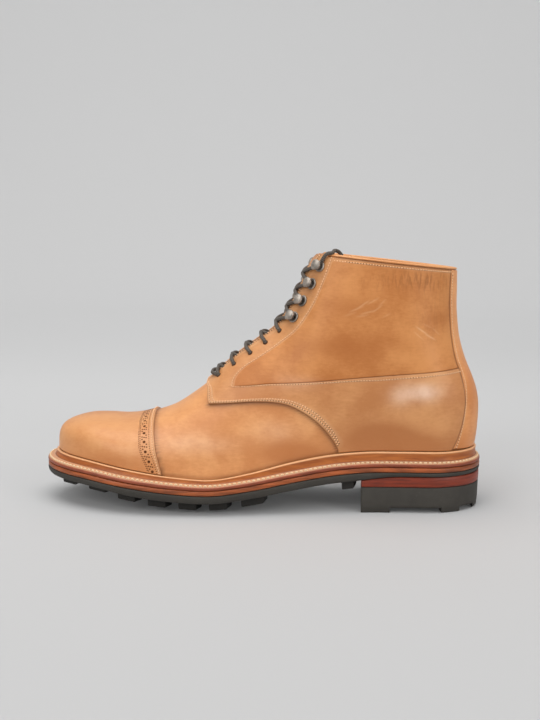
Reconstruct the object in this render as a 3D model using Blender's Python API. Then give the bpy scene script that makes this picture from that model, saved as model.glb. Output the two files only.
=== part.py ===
"""Navvy boot: a left derby-pattern work boot, built over one function of its last.

The toe points to -X, the outer side faces -Y and the floor is z = 0.
Sizes are in millimetres until a mesh is made.
"""

import math

import bmesh
import bpy
import numpy as np

MM = 0.001
GAP = 0.3

# Driving sizes of the last
TOE_X = -146.5
TOE_START_X = -75.0
TOE_ROUNDNESS = 2.1
TOE_SWING = 7.0
LAST_AXIS_Y = -2.4
HEEL_X = 151.6
COLLAR_FRONT_X = 34.0
COLLAR_FRONT_Z = 178.3
COLLAR_BACK_Z = 168.5
COLLAR_SLOPE = (COLLAR_FRONT_Z - COLLAR_BACK_Z) / 100.0
COLLAR_BAND = 1.6
LEG_HALF_WIDTH = 36.5
LEG_FULL_HEIGHT = 60.0
LEG_FADE_X = (-60.0, 15.0)
HEEL_ROUND_LOW = 36.0
HEEL_ROUND_HIGH = 46.0
ROW_TILT = 1.8
ROW_SETTLE = 3.0

# Thicknesses of the pieces
UPPER_WALL = 2.2
CAP_THICK = 1.2
QUARTER_THICK = 1.5
LEG_THICK = 1.0
STRIP_THICK = 2.0
TONGUE_THICK = 1.6
TONGUE_CLEAR = 1.12
TONGUE_TOP = 0.94
TONGUE_HALF_ANGLES = (0.52, 0.64)
INSOLE_THICK = 3.0
WELT_THICK = 3.4
WELT_FLANGE = 4.5
MIDSOLE_THICK = 3.3
LIFT_THICK = 7.2
LIP_HEIGHT = 7.0
LUG_HEIGHT = 6.2
LUG_TOE = 3.2
RUBBER_TOE = 4.4
RUBBER_FORE = 5.6
RUBBER_HEEL = 3.0
RUBBER_FADE_X = (60.0, 95.0)
TOE_FADE_X = (-125.0, -75.0)
DIP_RIM = 15.0
DIP_FADE_X = (-140.0, -112.0)
DIP_POWER = 2.5
HEEL_INSET = 2.0

# Throat, facings and lacing
THROAT_ROW = 11
SLIT_HALF = 6.5
SLIT_CORNER = 17.0
CORNER_SHARE = 0.935
EYELET_RADIUS = 1.9
LACE_RADIUS = 1.3
LACE_STEPS = 4
LACE_LIFT = GAP + QUARTER_THICK + 5 * GAP + LACE_RADIUS
HOOK_SETBACK = 5.9
HOOK_CLEAR = 0.45
HOOK_BASE_RADIUS = 4.0
HOOK_BASE_THICK = 0.9

# One row for each section along the sole: midsole's underside at the edge, its dip in the middle, the last's
# half widths at the feather line, how far the welt stands out, and how high its lip rises
SOLE_COLUMNS = ("x", "edge_z", "dip", "half_out", "half_in", "margin", "lip")
SOLE_SECTIONS = (
    (-156.0, 24.0, 0.0, 42.5, 45.0, 9.4, 4.8),
    (-120.0, 22.2, 2.6, 42.8, 45.4, 9.0, 4.6),
    (-90.0, 18.4, 4.0, 43.3, 46.0, 8.6, 4.1),
    (-60.0, 15.4, 4.4, 44.0, 46.8, 8.5, 3.3),
    (-35.0, 14.4, 4.4, 43.0, 45.0, 8.5, 2.8),
    (-10.0, 17.2, 3.4, 40.0, 39.0, 8.2, 4.2),
    (20.0, 22.6, 1.4, 36.5, 32.0, 7.4, 6.4),
    (45.0, 26.6, 0.4, 33.6, 29.0, 6.8, 7.0),
    (70.0, 28.9, 0.0, 32.2, 29.6, 6.2, 7.0),
    (95.0, 29.2, 0.0, 32.0, 31.2, 6.0, 7.0),
    (130.0, 29.2, 0.0, 32.4, 32.4, 6.4, 7.0),
    (156.0, 29.2, 0.0, 32.4, 32.4, 7.2, 7.0),
)

# One row for each section of the ridge: its height before the toe rounds off, and how square the section is
RIDGE_COLUMNS = ("x", "z", "squareness")
RIDGE_SECTIONS = (
    (-156.0, 61.8, 6.5),
    (-139.0, 62.0, 5.9),
    (-124.0, 62.2, 5.2),
    (-112.0, 60.9, 4.5),
    (-98.0, 59.5, 3.8),
    (-86.0, 60.6, 3.3),
    (-75.0, 63.9, 2.9),
    (-63.0, 68.6, 2.6),
    (-52.0, 75.8, 2.4),
    (-40.0, 85.0, 2.3),
    (-23.0, 101.5, 2.2),
    (-2.0, 118.3, 2.2),
    (8.3, 126.0, 2.2),
    (15.0, 134.0, 2.2),
    (20.5, 143.3, 2.2),
    (24.7, 151.5, 2.2),
    (28.4, 160.0, 2.2),
    (33.0, 174.0, 2.2),
    (35.0, 181.0, 2.2),
    (60.0, 268.0, 2.2),
    (160.0, 618.0, 2.2),
)

# One row for each level of the back seam
BACK_COLUMNS = ("z", "x")
BACK_SECTIONS = (
    (30.0, 147.6),
    (40.0, 149.0),
    (50.0, 150.7),
    (59.7, 151.4),
    (68.4, 151.6),
    (77.0, 151.0),
    (85.7, 148.9),
    (94.4, 145.5),
    (103.0, 141.7),
    (111.6, 138.6),
    (120.2, 136.3),
    (131.6, 134.6),
    (141.4, 133.7),
    (152.8, 133.5),
    (172.0, 133.0),
)

# Rows of the upper's grid, as shares of the way up the front from the feather line to the collar
ROW_SHARES = (
    0.0, 0.035, 0.065, 0.095, 0.125, 0.165, 0.22, 0.285, 0.355, 0.425, 0.485, 0.535,
    0.57, 0.63, 0.71, 0.79, 0.87, 0.94, 1.0,
)
COLUMNS_PER_SIDE = 14

# Seam lines of the outer side, as x and z along each
CAP_SEAM = ((-67.5, 20.0), (-69.5, 30.0), (-73.0, 42.0), (-75.2, 54.0), (-76.6, 64.0), (-77.5, 75.0))
QUARTER_SEAM = (
    (-37.5, 73.2), (-25.0, 74.4), (-8.0, 76.0), (6.0, 76.1), (17.0, 74.5), (26.5, 70.3),
    (36.3, 63.6), (44.3, 55.2), (50.2, 46.4), (53.3, 36.0),
)
LEG_SEAM = ((-20.0, 84.9), (0.8, 87.8), (24.6, 89.8), (58.5, 93.6), (92.4, 96.8), (136.0, 100.2))
FACING_SEAM = (
    (-20.0, 84.9), (-18.8, 90.0), (-13.2, 97.0), (-3.3, 104.0), (11.0, 113.7), (23.6, 124.7),
    (35.0, 142.8), (39.4, 153.3), (44.7, 166.9), (49.0, 180.0),
)
STRIP_SEAM = (
    (130.5, 30.0), (133.0, 42.9), (135.8, 51.8), (138.7, 64.0), (140.2, 79.6), (140.0, 88.7), (138.0, 97.2),
    (135.0, 104.8), (131.4, 121.5), (129.1, 140.2), (129.4, 180.0),
)
QUARTER_FRONT = ((-70.0, 112.0), (-39.5, 92.0), (-38.5, 84.0))

# Lacing places on the outer side: punched eyelets below, hooks above
EYELETS = ((-30.7, 90.6), (-20.2, 98.8), (-9.0, 106.8), (1.4, 114.2), (11.5, 122.7))
HOOKS = ((21.5, 132.8), (27.6, 144.2), (33.8, 156.4), (38.9, 168.6))

# Tread: rows of lugs as x and the lug's half length along x, the last row before the heel's breast; heel grooves
# as their middle and half length
LUG_ROWS = (
    (-134.0, 5.5), (-113.0, 6.5), (-92.0, 6.5), (-71.0, 6.5), (-50.0, 6.5), (-29.0, 6.5), (-5.5, 8.0),
    (60.3, 4.6),
)
LUG_COLUMNS = ((-0.84, -0.52), (-0.36, -0.06), (0.06, 0.36), (0.52, 0.84))
HEEL_FRONT_X = 67.6
HEEL_STEPS = 10
BREAST_SKEW = 7.0
BREAST_FADE_X = (67.6, 100.0)
HEEL_GROOVES = ((106.0, 18.0), (143.0, 5.5))
GROOVE_DEPTH = 3.6
HEEL_RIB_HALF = 9.0

# Colour, roughness and metallic value of each material
MATERIALS = {
    "tan_leather": ((0.55, 0.27, 0.11), 0.45, 0.0),
    "lining_leather": ((0.60, 0.36, 0.18), 0.60, 0.0),
    "welt_leather": ((0.30, 0.12, 0.045), 0.55, 0.0),
    "lift_leather": ((0.20, 0.05, 0.02), 0.55, 0.0),
    "dark_rubber": ((0.065, 0.058, 0.05), 0.75, 0.0),
    "bronze_hook": ((0.25, 0.22, 0.18), 0.35, 0.9),
    "lace_cotton": ((0.06, 0.045, 0.035), 0.85, 0.0),
}


def curve_through(knots, values):
    """A smooth function through a table's column: cubic pieces with the slopes of their neighbours."""
    knots = np.asarray(knots, float)
    values = np.asarray(values, float)
    slopes = np.gradient(values, knots)

    def at(place):
        place = np.asarray(place, float)
        inside = np.clip(place, knots[0], knots[-1])
        i = np.clip(np.searchsorted(knots, inside) - 1, 0, len(knots) - 2)
        step = knots[i + 1] - knots[i]
        t = (inside - knots[i]) / step
        rise = values[i + 1] - values[i]
        bend = (slopes[i] * step - rise) * (1 - t) + (rise - slopes[i + 1] * step) * t
        beyond = np.where(place > inside, slopes[-1], slopes[0]) * (place - inside)
        return values[i] + rise * t + t * (1 - t) * bend + beyond

    return at


def columns_of(names, rows):
    """Each column after the first as a smooth function of the first."""
    table = np.array(rows, float)
    return {name: curve_through(table[:, 0], table[:, k]) for k, name in enumerate(names) if k}


SOLE = columns_of(SOLE_COLUMNS, SOLE_SECTIONS)
RIDGE = columns_of(RIDGE_COLUMNS, RIDGE_SECTIONS)
BACK = columns_of(BACK_COLUMNS, BACK_SECTIONS)


def smooth_step(value, low, high):
    t = np.clip((value - low) / (high - low), 0.0, 1.0)
    return t * t * (3 - 2 * t)


def axis_y(x):
    """The line that the last's two sides are measured from; it swings to the inner side at the toe."""
    return LAST_AXIS_Y + TOE_SWING * np.square(np.clip(x / TOE_X, 0.0, None))


def feather_z(x):
    """Height of the upper's lower edge, on the welt."""
    return SOLE["edge_z"](x) + MIDSOLE_THICK + WELT_THICK + 2 * GAP


def toe_share(x):
    return np.clip((TOE_START_X - x) / (TOE_START_X - TOE_X), 0.0, 1.0) ** TOE_ROUNDNESS


def half_width(x, z, outer):
    """Half width of the last at a place of its side view: full at the feather line, none on its outline."""
    low = feather_z(x)
    height = np.clip((z - low) / (RIDGE["z"](x) - low), 0.0, 1.0)
    foot = np.where(outer, SOLE["half_out"](x), SOLE["half_in"](x))
    leg = smooth_step(z - low, 0.0, LEG_FULL_HEIGHT) * smooth_step(x, *LEG_FADE_X)
    full = foot + (LEG_HALF_WIDTH - foot) * leg
    heel_round = HEEL_ROUND_LOW + (HEEL_ROUND_HIGH - HEEL_ROUND_LOW) * smooth_step(z, 60.0, COLLAR_BACK_Z)
    back = np.clip(1 - (BACK["x"](z) - x) / heel_round, 0.0, 1.0)
    top = 1 - toe_share(x) - height ** RIDGE["squareness"](x)
    return full * np.sqrt(np.clip(top, 0.0, None) * (1 - back * back))


def front_line():
    """The last's front outline from the toe's feather line to the collar, as points along it."""
    s = np.linspace(0.0, 1.0, 20000)
    x = TOE_X + (2 * COLLAR_FRONT_X - TOE_X) * s**3
    low = feather_z(x)
    z = low + (RIDGE["z"](x) - low) * (1 - toe_share(x)) ** (1 / RIDGE["squareness"](x))
    keep = z <= COLLAR_FRONT_Z - COLLAR_SLOPE * (x - COLLAR_FRONT_X)
    return x[keep], z[keep]


FRONT_X, FRONT_Z = front_line()
FRONT_SHARE = np.concatenate([[0.0], np.cumsum(np.hypot(np.diff(FRONT_X), np.diff(FRONT_Z)))])
FRONT_SHARE = FRONT_SHARE / FRONT_SHARE[-1]
BACK_LOW_Z = float(feather_z(148.5))


def row_line(v, f):
    """Side view of a row of the upper: v is its share of the height, f runs from the back to the front."""
    back_z = BACK_LOW_Z + (COLLAR_BACK_Z - BACK_LOW_Z) * v**ROW_TILT
    back_x = BACK["x"](back_z)
    x = back_x + (np.interp(v, FRONT_SHARE, FRONT_X) - back_x) * f
    straight = back_z + (np.interp(v, FRONT_SHARE, FRONT_Z) - back_z) * f
    first_x = BACK["x"](BACK_LOW_Z) + (FRONT_X[0] - BACK["x"](BACK_LOW_Z)) * f
    first_z = BACK_LOW_Z + (FRONT_Z[0] - BACK_LOW_Z) * f
    return x, straight + (feather_z(first_x) - first_z) * (1 - v) ** ROW_SETTLE


def last_point(v, phi):
    """Point of the upper's outside: phi is 0 at the back and pi at the front, negative on the outer side."""
    phi = (phi + math.pi) % (2 * math.pi) - math.pi
    x, z = row_line(v, (1 - np.cos(phi)) / 2)
    return np.stack([x, axis_y(x) + np.sign(phi) * half_width(x, z, phi < 0), z], axis=-1)


def last_normal(v, phi):
    """Outward direction of that surface, from small steps along it."""
    rise, turn = 2e-3, 2e-2
    up = last_point(np.clip(v + rise, 0, 1), phi) - last_point(np.clip(v - rise, 0, 1), phi)
    around = last_point(v, phi + turn) - last_point(v, phi - turn)
    normal = np.cross(around, up)
    return normal / np.linalg.norm(normal, axis=-1, keepdims=True)


def lifted(v, phi, lift):
    v, phi = np.broadcast_arrays(np.asarray(v, float), np.asarray(phi, float))
    return last_point(v, phi) + lift * last_normal(v, phi)


def locate(x, z):
    """Row share and angle of a place of the side view, by halving; the angle is that of the inner side."""
    x, z = np.broadcast_arrays(np.asarray(x, float), np.asarray(z, float))
    low, high = np.zeros(x.shape), np.ones(x.shape)
    for _ in range(40):
        v = (low + high) / 2
        back_x, front_x = row_line(v, 0.0)[0], row_line(v, 1.0)[0]
        share = np.clip((x - back_x) / (front_x - back_x), 0.0, 1.0)
        under = row_line(v, share)[1] < z
        low, high = np.where(under, v, low), np.where(under, high, v)
    return v, np.arccos(1 - 2 * share)


def slit_angle(v, half_gap, outer):
    """Angle at which a row comes within half_gap of the boot's middle, by halving."""
    low, high = np.full(np.shape(v), math.pi / 2), np.full(np.shape(v), math.pi)
    for _ in range(40):
        phi = (low + high) / 2
        x, z = row_line(v, (1 - np.cos(phi)) / 2)
        wide = half_width(x, z, outer) > half_gap
        low, high = np.where(wide, phi, low), np.where(wide, high, phi)
    return low


ROWS = np.array(ROW_SHARES)


def slit_half(v):
    """Half of the gap between the facings: it opens at the throat and flares at the rounded top corner."""
    opened = np.clip((v - ROWS[THROAT_ROW]) / 0.05, 0.0, 1.0)
    rounded = 1 - np.sqrt(1 - np.square(np.clip((v - CORNER_SHARE) / (1 - CORNER_SHARE), 0.0, 1.0)))
    return np.sqrt(SLIT_HALF**2 * opened + (SLIT_CORNER**2 - SLIT_HALF**2) * rounded)


def make_material(name):
    colour, roughness, metallic = MATERIALS[name]
    material = bpy.data.materials.get(name) or bpy.data.materials.new(name)
    material.use_nodes = True
    shader = material.node_tree.nodes["Principled BSDF"]
    shader.inputs["Base Color"].default_value = (*colour, 1.0)
    shader.inputs["Roughness"].default_value = roughness
    shader.inputs["Metallic"].default_value = metallic
    material.diffuse_color = (*colour, 1.0)
    return material


def add_mesh(name, points, faces, material=None):
    """A mesh object from points in millimetres, its faces turned outwards."""
    mesh = bpy.data.meshes.new(name)
    mesh.from_pydata((np.asarray(points) * MM).tolist(), [], [list(map(int, face)) for face in faces])
    shape = bmesh.new()
    shape.from_mesh(mesh)
    bmesh.ops.remove_doubles(shape, verts=shape.verts, dist=1e-6)
    bmesh.ops.recalc_face_normals(shape, faces=shape.faces)
    shape.to_mesh(mesh)
    shape.free()
    obj = bpy.data.objects.new(name, mesh)
    bpy.context.scene.collection.objects.link(obj)
    if material:
        mesh.materials.append(make_material(material))
    return obj


def helper(name, points, faces):
    """A cutter, kept out of the part."""
    obj = add_mesh(name, points, faces)
    obj.hide_render = True
    obj.display_type = "WIRE"
    return obj


def boolean(obj, other, operation):
    modifier = obj.modifiers.new(f"{operation.lower()}_{other.name}", "BOOLEAN")
    modifier.operation = operation
    modifier.object = other
    modifier.solver = "EXACT"


def shell(lift_in, lift_out):
    """The upper's form as a closed wall between two lifts, open below, at the collar and the throat."""
    side = np.linspace(-1.0, 1.0, 2 * COLUMNS_PER_SIDE + 1)
    reach_out = np.where(ROWS > ROWS[THROAT_ROW], slit_angle(ROWS, slit_half(ROWS), True), math.pi)
    reach_in = np.where(ROWS > ROWS[THROAT_ROW], slit_angle(ROWS, slit_half(ROWS), False), math.pi)
    reach = np.where(side < 0, reach_out[:, None], reach_in[:, None])
    v = np.broadcast_to(ROWS[:, None], reach.shape)
    grids = [lifted(v, side * reach, lift) for lift in (lift_out, lift_in)]
    rows, columns = reach.shape
    points = np.concatenate([grid.reshape(-1, 3) for grid in grids])

    def at(layer, i, j):
        if j == columns - 1 and i <= THROAT_ROW:
            j = 0
        return (layer * rows + i) * columns + j

    faces = []
    for i in range(rows - 1):
        for j in range(columns - 1):
            for layer in (0, 1):
                near, far = at(layer, i, j), at(layer, i + 1, j + 1)
                faces += [[near, at(layer, i, j + 1), far], [near, far, at(layer, i + 1, j)]]
    for j in range(columns - 1):
        faces.append([at(1, 0, j), at(1, 0, j + 1), at(0, 0, j + 1), at(0, 0, j)])
        faces.append([at(0, rows - 1, j), at(0, rows - 1, j + 1), at(1, rows - 1, j + 1), at(1, rows - 1, j)])
    for i in range(THROAT_ROW, rows - 1):
        for j in (0, columns - 1):
            faces.append([at(0, i, j), at(0, i + 1, j), at(1, i + 1, j), at(1, i, j)])
    used = np.unique(np.concatenate(faces))
    place = np.full(len(points), -1)
    place[used] = np.arange(len(used))
    return points[used], [[place[k] for k in face] for face in faces]


def along(seam, count):
    """Points evenly along a smooth seam line."""
    seam = np.array(seam, float)
    share = np.concatenate([[0.0], np.cumsum(np.hypot(*np.diff(seam, axis=0).T))])
    t = np.linspace(0.0, share[-1], count)
    return np.stack([curve_through(share, seam[:, 0])(t), curve_through(share, seam[:, 1])(t)], axis=1)


def seam_part(seam, keep, shift=0.0, count=11):
    """The part of a seam where keep(x, z) holds, moved to its left by a shift, as evenly spaced points."""
    line = along(seam, 500)
    run = np.gradient(line, axis=0)
    left = np.stack([-run[:, 1], run[:, 0]], axis=1)
    line = line + shift * left / np.linalg.norm(left, axis=1, keepdims=True)
    part = line[keep(line[:, 0], line[:, 1])]
    return part[np.linspace(0, len(part) - 1, count).round().astype(int)]


def prism(name, outline, y_from, y_to):
    """A cutter with a side-view outline, from one y to another."""
    count = len(outline)
    points = [(x, y, z) for y in (y_from, y_to) for x, z in outline]
    faces = [list(range(count)), list(range(2 * count - 1, count - 1, -1))]
    faces += [[k, (k + 1) % count, count + (k + 1) % count, count + k] for k in range(count)]
    return helper(name, points, faces)


def lip_height(x):
    """Height of the storm welt's lip, which is lowest beside the ball of the foot."""
    return SOLE["lip"](x)


def lip_line(x):
    """Just above the storm welt's lip, where the overlays end."""
    return feather_z(x) + lip_height(x)


def band_line(x):
    """Just under the collar's edge, where the overlays end."""
    return COLLAR_FRONT_Z - COLLAR_SLOPE * (x - COLLAR_FRONT_X) - COLLAR_BAND


def lip_points(x_from, x_to, count=12):
    x = np.linspace(x_from, x_to, count)
    return np.stack([x, lip_line(x)], axis=1)


def band_points(x_from, x_to):
    x = np.array([x_from, x_to])
    return np.stack([x, band_line(x)], axis=1)


def overlay(name, thick, outline, y_from, y_to):
    """A leather overlay: the shell just off the upper, cut to a side-view outline."""
    points, faces = shell(GAP, GAP + thick)
    piece = add_mesh(name, points, faces, "tan_leather")
    boolean(piece, prism(f"{name}_outline", outline, y_from, y_to), "INTERSECT")
    return piece


LEG_SEAM_Z = curve_through(*np.array(LEG_SEAM).T)
STRIP_SEAM_X = curve_through(*np.array(STRIP_SEAM)[:, ::-1].T)
BOTH_SIDES = (-90.0, 90.0)
SIDES = {"outer": (-90.0, LAST_AXIS_Y), "inner": (LAST_AXIS_Y, 90.0)}


def above_lip(x, z):
    return z > lip_line(x)


def below_band(x, z):
    return z < band_line(x)


def before_strip(x, z):
    return x < STRIP_SEAM_X(z) - GAP / 2


def make_upper():
    points, faces = shell(-UPPER_WALL, 0.0)
    return add_mesh("upper", points, faces, "tan_leather")


def make_toe_cap():
    seam = seam_part(CAP_SEAM, above_lip)
    foot = lip_points(TOE_X - 10.0, seam[0, 0])
    outline = np.concatenate([foot, seam, [(TOE_X - 10.0, seam[-1, 1])]])
    return overlay("toe_cap", CAP_THICK, outline, *BOTH_SIDES)


def make_quarter(side):
    """The derby quarter: a facing down the throat that turns along the side to the heel."""
    seam = seam_part(QUARTER_SEAM, above_lip)
    strip = seam_part(STRIP_SEAM, lambda x, z: above_lip(x, z) & (z < LEG_SEAM_Z(x) - GAP / 2), GAP / 2)
    leg = seam_part(LEG_SEAM, before_strip, -GAP / 2)
    facing = seam_part(FACING_SEAM, below_band, GAP / 2)
    foot = lip_points(seam[-1, 0], strip[0, 0])
    top = band_points(facing[-1, 0], 0.0)
    outline = np.concatenate([QUARTER_FRONT, seam, foot[1:-1], strip, leg[:0:-1], facing, top])
    return overlay(f"quarter_{side}", QUARTER_THICK, outline, *SIDES[side])


def make_leg(side):
    """The leg panel: between the facing, the quarter, the back strip and the collar."""
    leg = seam_part(LEG_SEAM, before_strip, GAP / 2)
    strip = seam_part(STRIP_SEAM, lambda x, z: below_band(x, z) & (z > LEG_SEAM_Z(x) + GAP / 2), GAP / 2)
    facing = seam_part(FACING_SEAM, below_band, -GAP / 2)
    top = band_points(strip[-1, 0], facing[-1, 0])
    outline = np.concatenate([leg, strip, top, facing[:0:-1]])
    return overlay(f"leg_{side}", LEG_THICK, outline, *SIDES[side])


def make_back_strip():
    seam = seam_part(STRIP_SEAM, lambda x, z: above_lip(x, z) & below_band(x, z), -GAP / 2, 20)
    foot = lip_points(seam[0, 0], HEEL_X + 20.0, 4)
    top = band_points(HEEL_X + 20.0, seam[-1, 0])
    outline = np.concatenate([foot, top, seam[::-1]])
    return overlay("back_strip", STRIP_THICK, outline, *BOTH_SIDES)


def sheet(v, phi, lift_in, lift_out):
    """A closed sheet over a grid of the last, between two lifts."""
    layers = [lifted(v, phi, lift) for lift in (lift_out, lift_in)]
    rows, columns = layers[0].shape[:2]
    points = np.concatenate([layer.reshape(-1, 3) for layer in layers])
    index = np.arange(2 * rows * columns).reshape(2, rows, columns)
    faces = []
    for layer in index:
        quads = np.stack([layer[:-1, :-1], layer[:-1, 1:], layer[1:, 1:], layer[1:, :-1]], axis=-1)
        faces += quads.reshape(-1, 4).tolist()
    rim = [
        np.concatenate([layer[0], layer[1:, -1], layer[-1, -2::-1], layer[-2:0:-1, 0]])
        for layer in index
    ]
    count = len(rim[0])
    faces += [[rim[0][k], rim[0][(k + 1) % count], rim[1][(k + 1) % count], rim[1][k]] for k in range(count)]
    return points, faces


def make_tongue():
    v = np.linspace(ROWS[THROAT_ROW] - 0.04, TONGUE_TOP, 10)[:, None]
    half = np.interp(v, (v[0, 0], v[-1, 0]), TONGUE_HALF_ANGLES)
    phi = math.pi + half * np.linspace(-1.0, 1.0, 9)[None, :]
    depth = UPPER_WALL + TONGUE_CLEAR
    points, faces = sheet(v, phi, -depth - TONGUE_THICK, -depth)
    return add_mesh("tongue", points, faces, "tan_leather")


def row_above_feather(phi, rise):
    """Row share at which each angle's point stands a rise above the feather line, by halving."""
    low, high = np.zeros_like(phi), np.full_like(phi, 0.5)
    for _ in range(30):
        v = (low + high) / 2
        x, z = row_line(v, (1 - np.cos(phi)) / 2)
        under = z < feather_z(x) + rise
        low, high = np.where(under, v, low), np.where(under, high, v)
    return low


def outline_at(phi, offset, rise=0.0):
    """Plan of the upper at a rise above the feather line, moved out by an offset: outer, then inner side."""
    turn = 1e-2
    v = row_above_feather(phi, rise)
    sides = []
    for sign in (-1.0, 1.0):
        here = last_point(v, sign * phi)
        after = last_point(v, sign * (phi + turn))
        before = last_point(v, sign * (phi - turn))
        run = (after - before)[:, :2]
        normal = np.stack([run[:, 1], -run[:, 0]], axis=1) * sign
        normal /= np.linalg.norm(normal, axis=1, keepdims=True)
        distance = offset(here[:, 0]) if callable(offset) else offset
        sides.append(here[:, :2] + normal * np.reshape(distance, (-1, 1)))
    return np.stack(sides)


def margin(extra):
    """How far a layer stands out from the feather line: the welt's own margin and a little more or less."""
    return lambda x: SOLE["margin"](x) + extra


EDGE_OUT, EDGE_IN = outline_at(np.linspace(0.0, math.pi, 240)[::-1], margin(0.0))


def edges_at(x):
    """The sole's outer and inner y at one x."""
    return (np.interp(x, line[:, 0], line[:, 1]) for line in (EDGE_OUT, EDGE_IN))


def sole_dip(x, y):
    """How far the sole lies below its edge: most in the middle, nothing outside the upper's wall."""
    low, high = edges_at(x)
    reach = np.maximum((high - low) / 2 - DIP_RIM, 1.0)
    share = np.abs(y - (low + high) / 2) / reach
    return SOLE["dip"](x) * smooth_step(x, *DIP_FADE_X) * np.clip(1 - share**DIP_POWER, 0.0, 1.0)


ACROSS = np.array([-1.0, -0.7, -0.35, 0.0, 0.35, 0.7, 1.0])


def slab(phi, levels, heights, closed_front=True, spread=0.0, shift=None):
    """A sole layer: a loop round the outline for each (offset, share of height), closed by ladders of rungs.

    heights gives the underside and the top for x and y. The front ends at the toe, or as a straight breast.
    spread moves the rungs' outer points towards the edge; shift moves points along x, before the heights.
    """
    middle = len(ACROSS) // 2
    ends = (0, len(phi) - 1) if closed_front else (0,)
    rungs = []
    for offset, share in levels:
        outer, inner = outline_at(phi, offset)
        t = (ACROSS + spread * np.sin(math.pi * ACROSS))[None, :, None]
        plan = outer[:, None] * (1 - t) / 2 + inner[:, None] * (1 + t) / 2
        for tip in ends:
            plan[tip] = plan[tip, middle]
        if shift:
            plan[..., 0] += shift(plan[..., 0], plan[..., 1])
        low, high = heights(plan[..., 0], plan[..., 1])
        rungs.append(np.concatenate([plan, (low + (high - low) * share)[..., None]], axis=-1))
    count, width = plan.shape[:2]
    points = np.concatenate([rung.reshape(-1, 3) for rung in rungs])
    index = np.arange(len(points)).reshape(len(rungs), count, width)
    faces = []
    for layer in (index[0], index[-1]):
        quads = np.stack([layer[:-1, :-1], layer[:-1, 1:], layer[1:, 1:], layer[1:, :-1]], axis=-1)
        faces += quads.reshape(-1, 4).tolist()
    loops = [
        np.concatenate([layer[:, 0], layer[-1, 1:-1], layer[::-1, -1][:-1]])
        for layer in index
    ]
    for low, high in zip(loops[:-1], loops[1:]):
        faces += np.stack([low, np.roll(low, -1), np.roll(high, -1), high], axis=-1).tolist()
    return merged(points, faces)


def merged(points, faces):
    """Points that lie together made one, and faces that close up dropped or made triangles."""
    _, first, back = np.unique(np.round(points, 5), axis=0, return_index=True, return_inverse=True)
    back = back.reshape(-1)
    kept = []
    for face in faces:
        corners = list(dict.fromkeys(int(back[k]) for k in face))
        if len(corners) > 2:
            kept.append(corners)
    used = np.unique(np.concatenate([np.array(face) for face in kept]))
    place = np.full(len(first), -1)
    place[used] = np.arange(len(used))
    return points[first][used], [[int(place[k]) for k in face] for face in kept]


FULL = np.linspace(0.0, math.pi, COLUMNS_PER_SIDE + 1)


def layer_heights(low, thick):
    """Underside and top of a layer that follows the sole, from heights above the midsole's underside."""

    def heights(x, y):
        base = SOLE["edge_z"](x) - sole_dip(x, y) + low
        return base, base + thick

    return heights


def make_midsole():
    levels = ((margin(-0.5), 0.0), (margin(0.0), 0.25), (margin(0.0), 0.75), (margin(-0.5), 1.0))
    points, faces = slab(FULL, levels, layer_heights(0.0, MIDSOLE_THICK))
    return add_mesh("midsole", points, faces, "welt_leather")


def make_insole():
    inset = -(UPPER_WALL + GAP)
    levels = ((inset, 0.0), (inset, 1.0))
    low = MIDSOLE_THICK + WELT_THICK + 2 * GAP
    points, faces = slab(FULL, levels, layer_heights(low, INSOLE_THICK), spread=0.2)
    return add_mesh("insole", points, faces, "lining_leather")


def make_welt():
    """The storm welt: one section, with its stitched flat and upturned lip, swept round the feather line.

    Each point of the section has an offset, a height, and its share of the lip's rise.
    """
    flat = WELT_THICK
    full_rise = lip_height(row_line(0.0, (1 - np.cos(FULL)) / 2)[0])
    section = (
        (-WELT_FLANGE, 0.0, 0.0), (margin(-0.4), 0.0, 0.0), (margin(0.0), 0.3 * flat, 0.0),
        (margin(0.0), 0.75 * flat, 0.0), (margin(-0.6), flat, 0.0), (4.0, flat, 0.0), (3.4, flat, 0.11),
        (2.6, flat, 0.91), (1.9, flat, 1.0), (GAP, flat, 1.0), (GAP, flat, 0.0), (-WELT_FLANGE, flat, 0.0),
    )
    loops = []
    for offset, height, share in section:
        rise = share * full_rise
        outer, inner = outline_at(FULL, offset, rise)
        plan = np.concatenate([outer, inner[-2:0:-1]])
        height = height + np.concatenate([rise, rise[-2:0:-1]])
        z = SOLE["edge_z"](plan[:, 0]) - sole_dip(*plan.T) + MIDSOLE_THICK + GAP + height
        loops.append(np.concatenate([plan, z[:, None]], axis=1))
    count, length = len(loops), len(loops[0])
    index = np.arange(count * length).reshape(count, length)
    after, beyond = np.roll(index, -1, axis=0), np.roll(index, -1, axis=1)
    faces = np.stack([index, beyond, np.roll(after, -1, axis=1), after], axis=-1).reshape(-1, 4)
    return add_mesh("welt", np.concatenate(loops), faces.tolist(), "welt_leather")


def rubber_thick(x):
    """The rubber layer: full under the forefoot and waist, thinner at the toe, thin over the heel."""
    fore = RUBBER_TOE + (RUBBER_FORE - RUBBER_TOE) * smooth_step(x, *TOE_FADE_X)
    return fore + (RUBBER_HEEL - RUBBER_FORE) * smooth_step(x, *RUBBER_FADE_X)


def lug_height(x):
    """The lugs' height, lower at the toe."""
    return LUG_TOE + (LUG_HEIGHT - LUG_TOE) * smooth_step(x, *TOE_FADE_X)


def sole_underside(x, y):
    return SOLE["edge_z"](x) - sole_dip(x, y) - GAP - rubber_thick(x)


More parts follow.
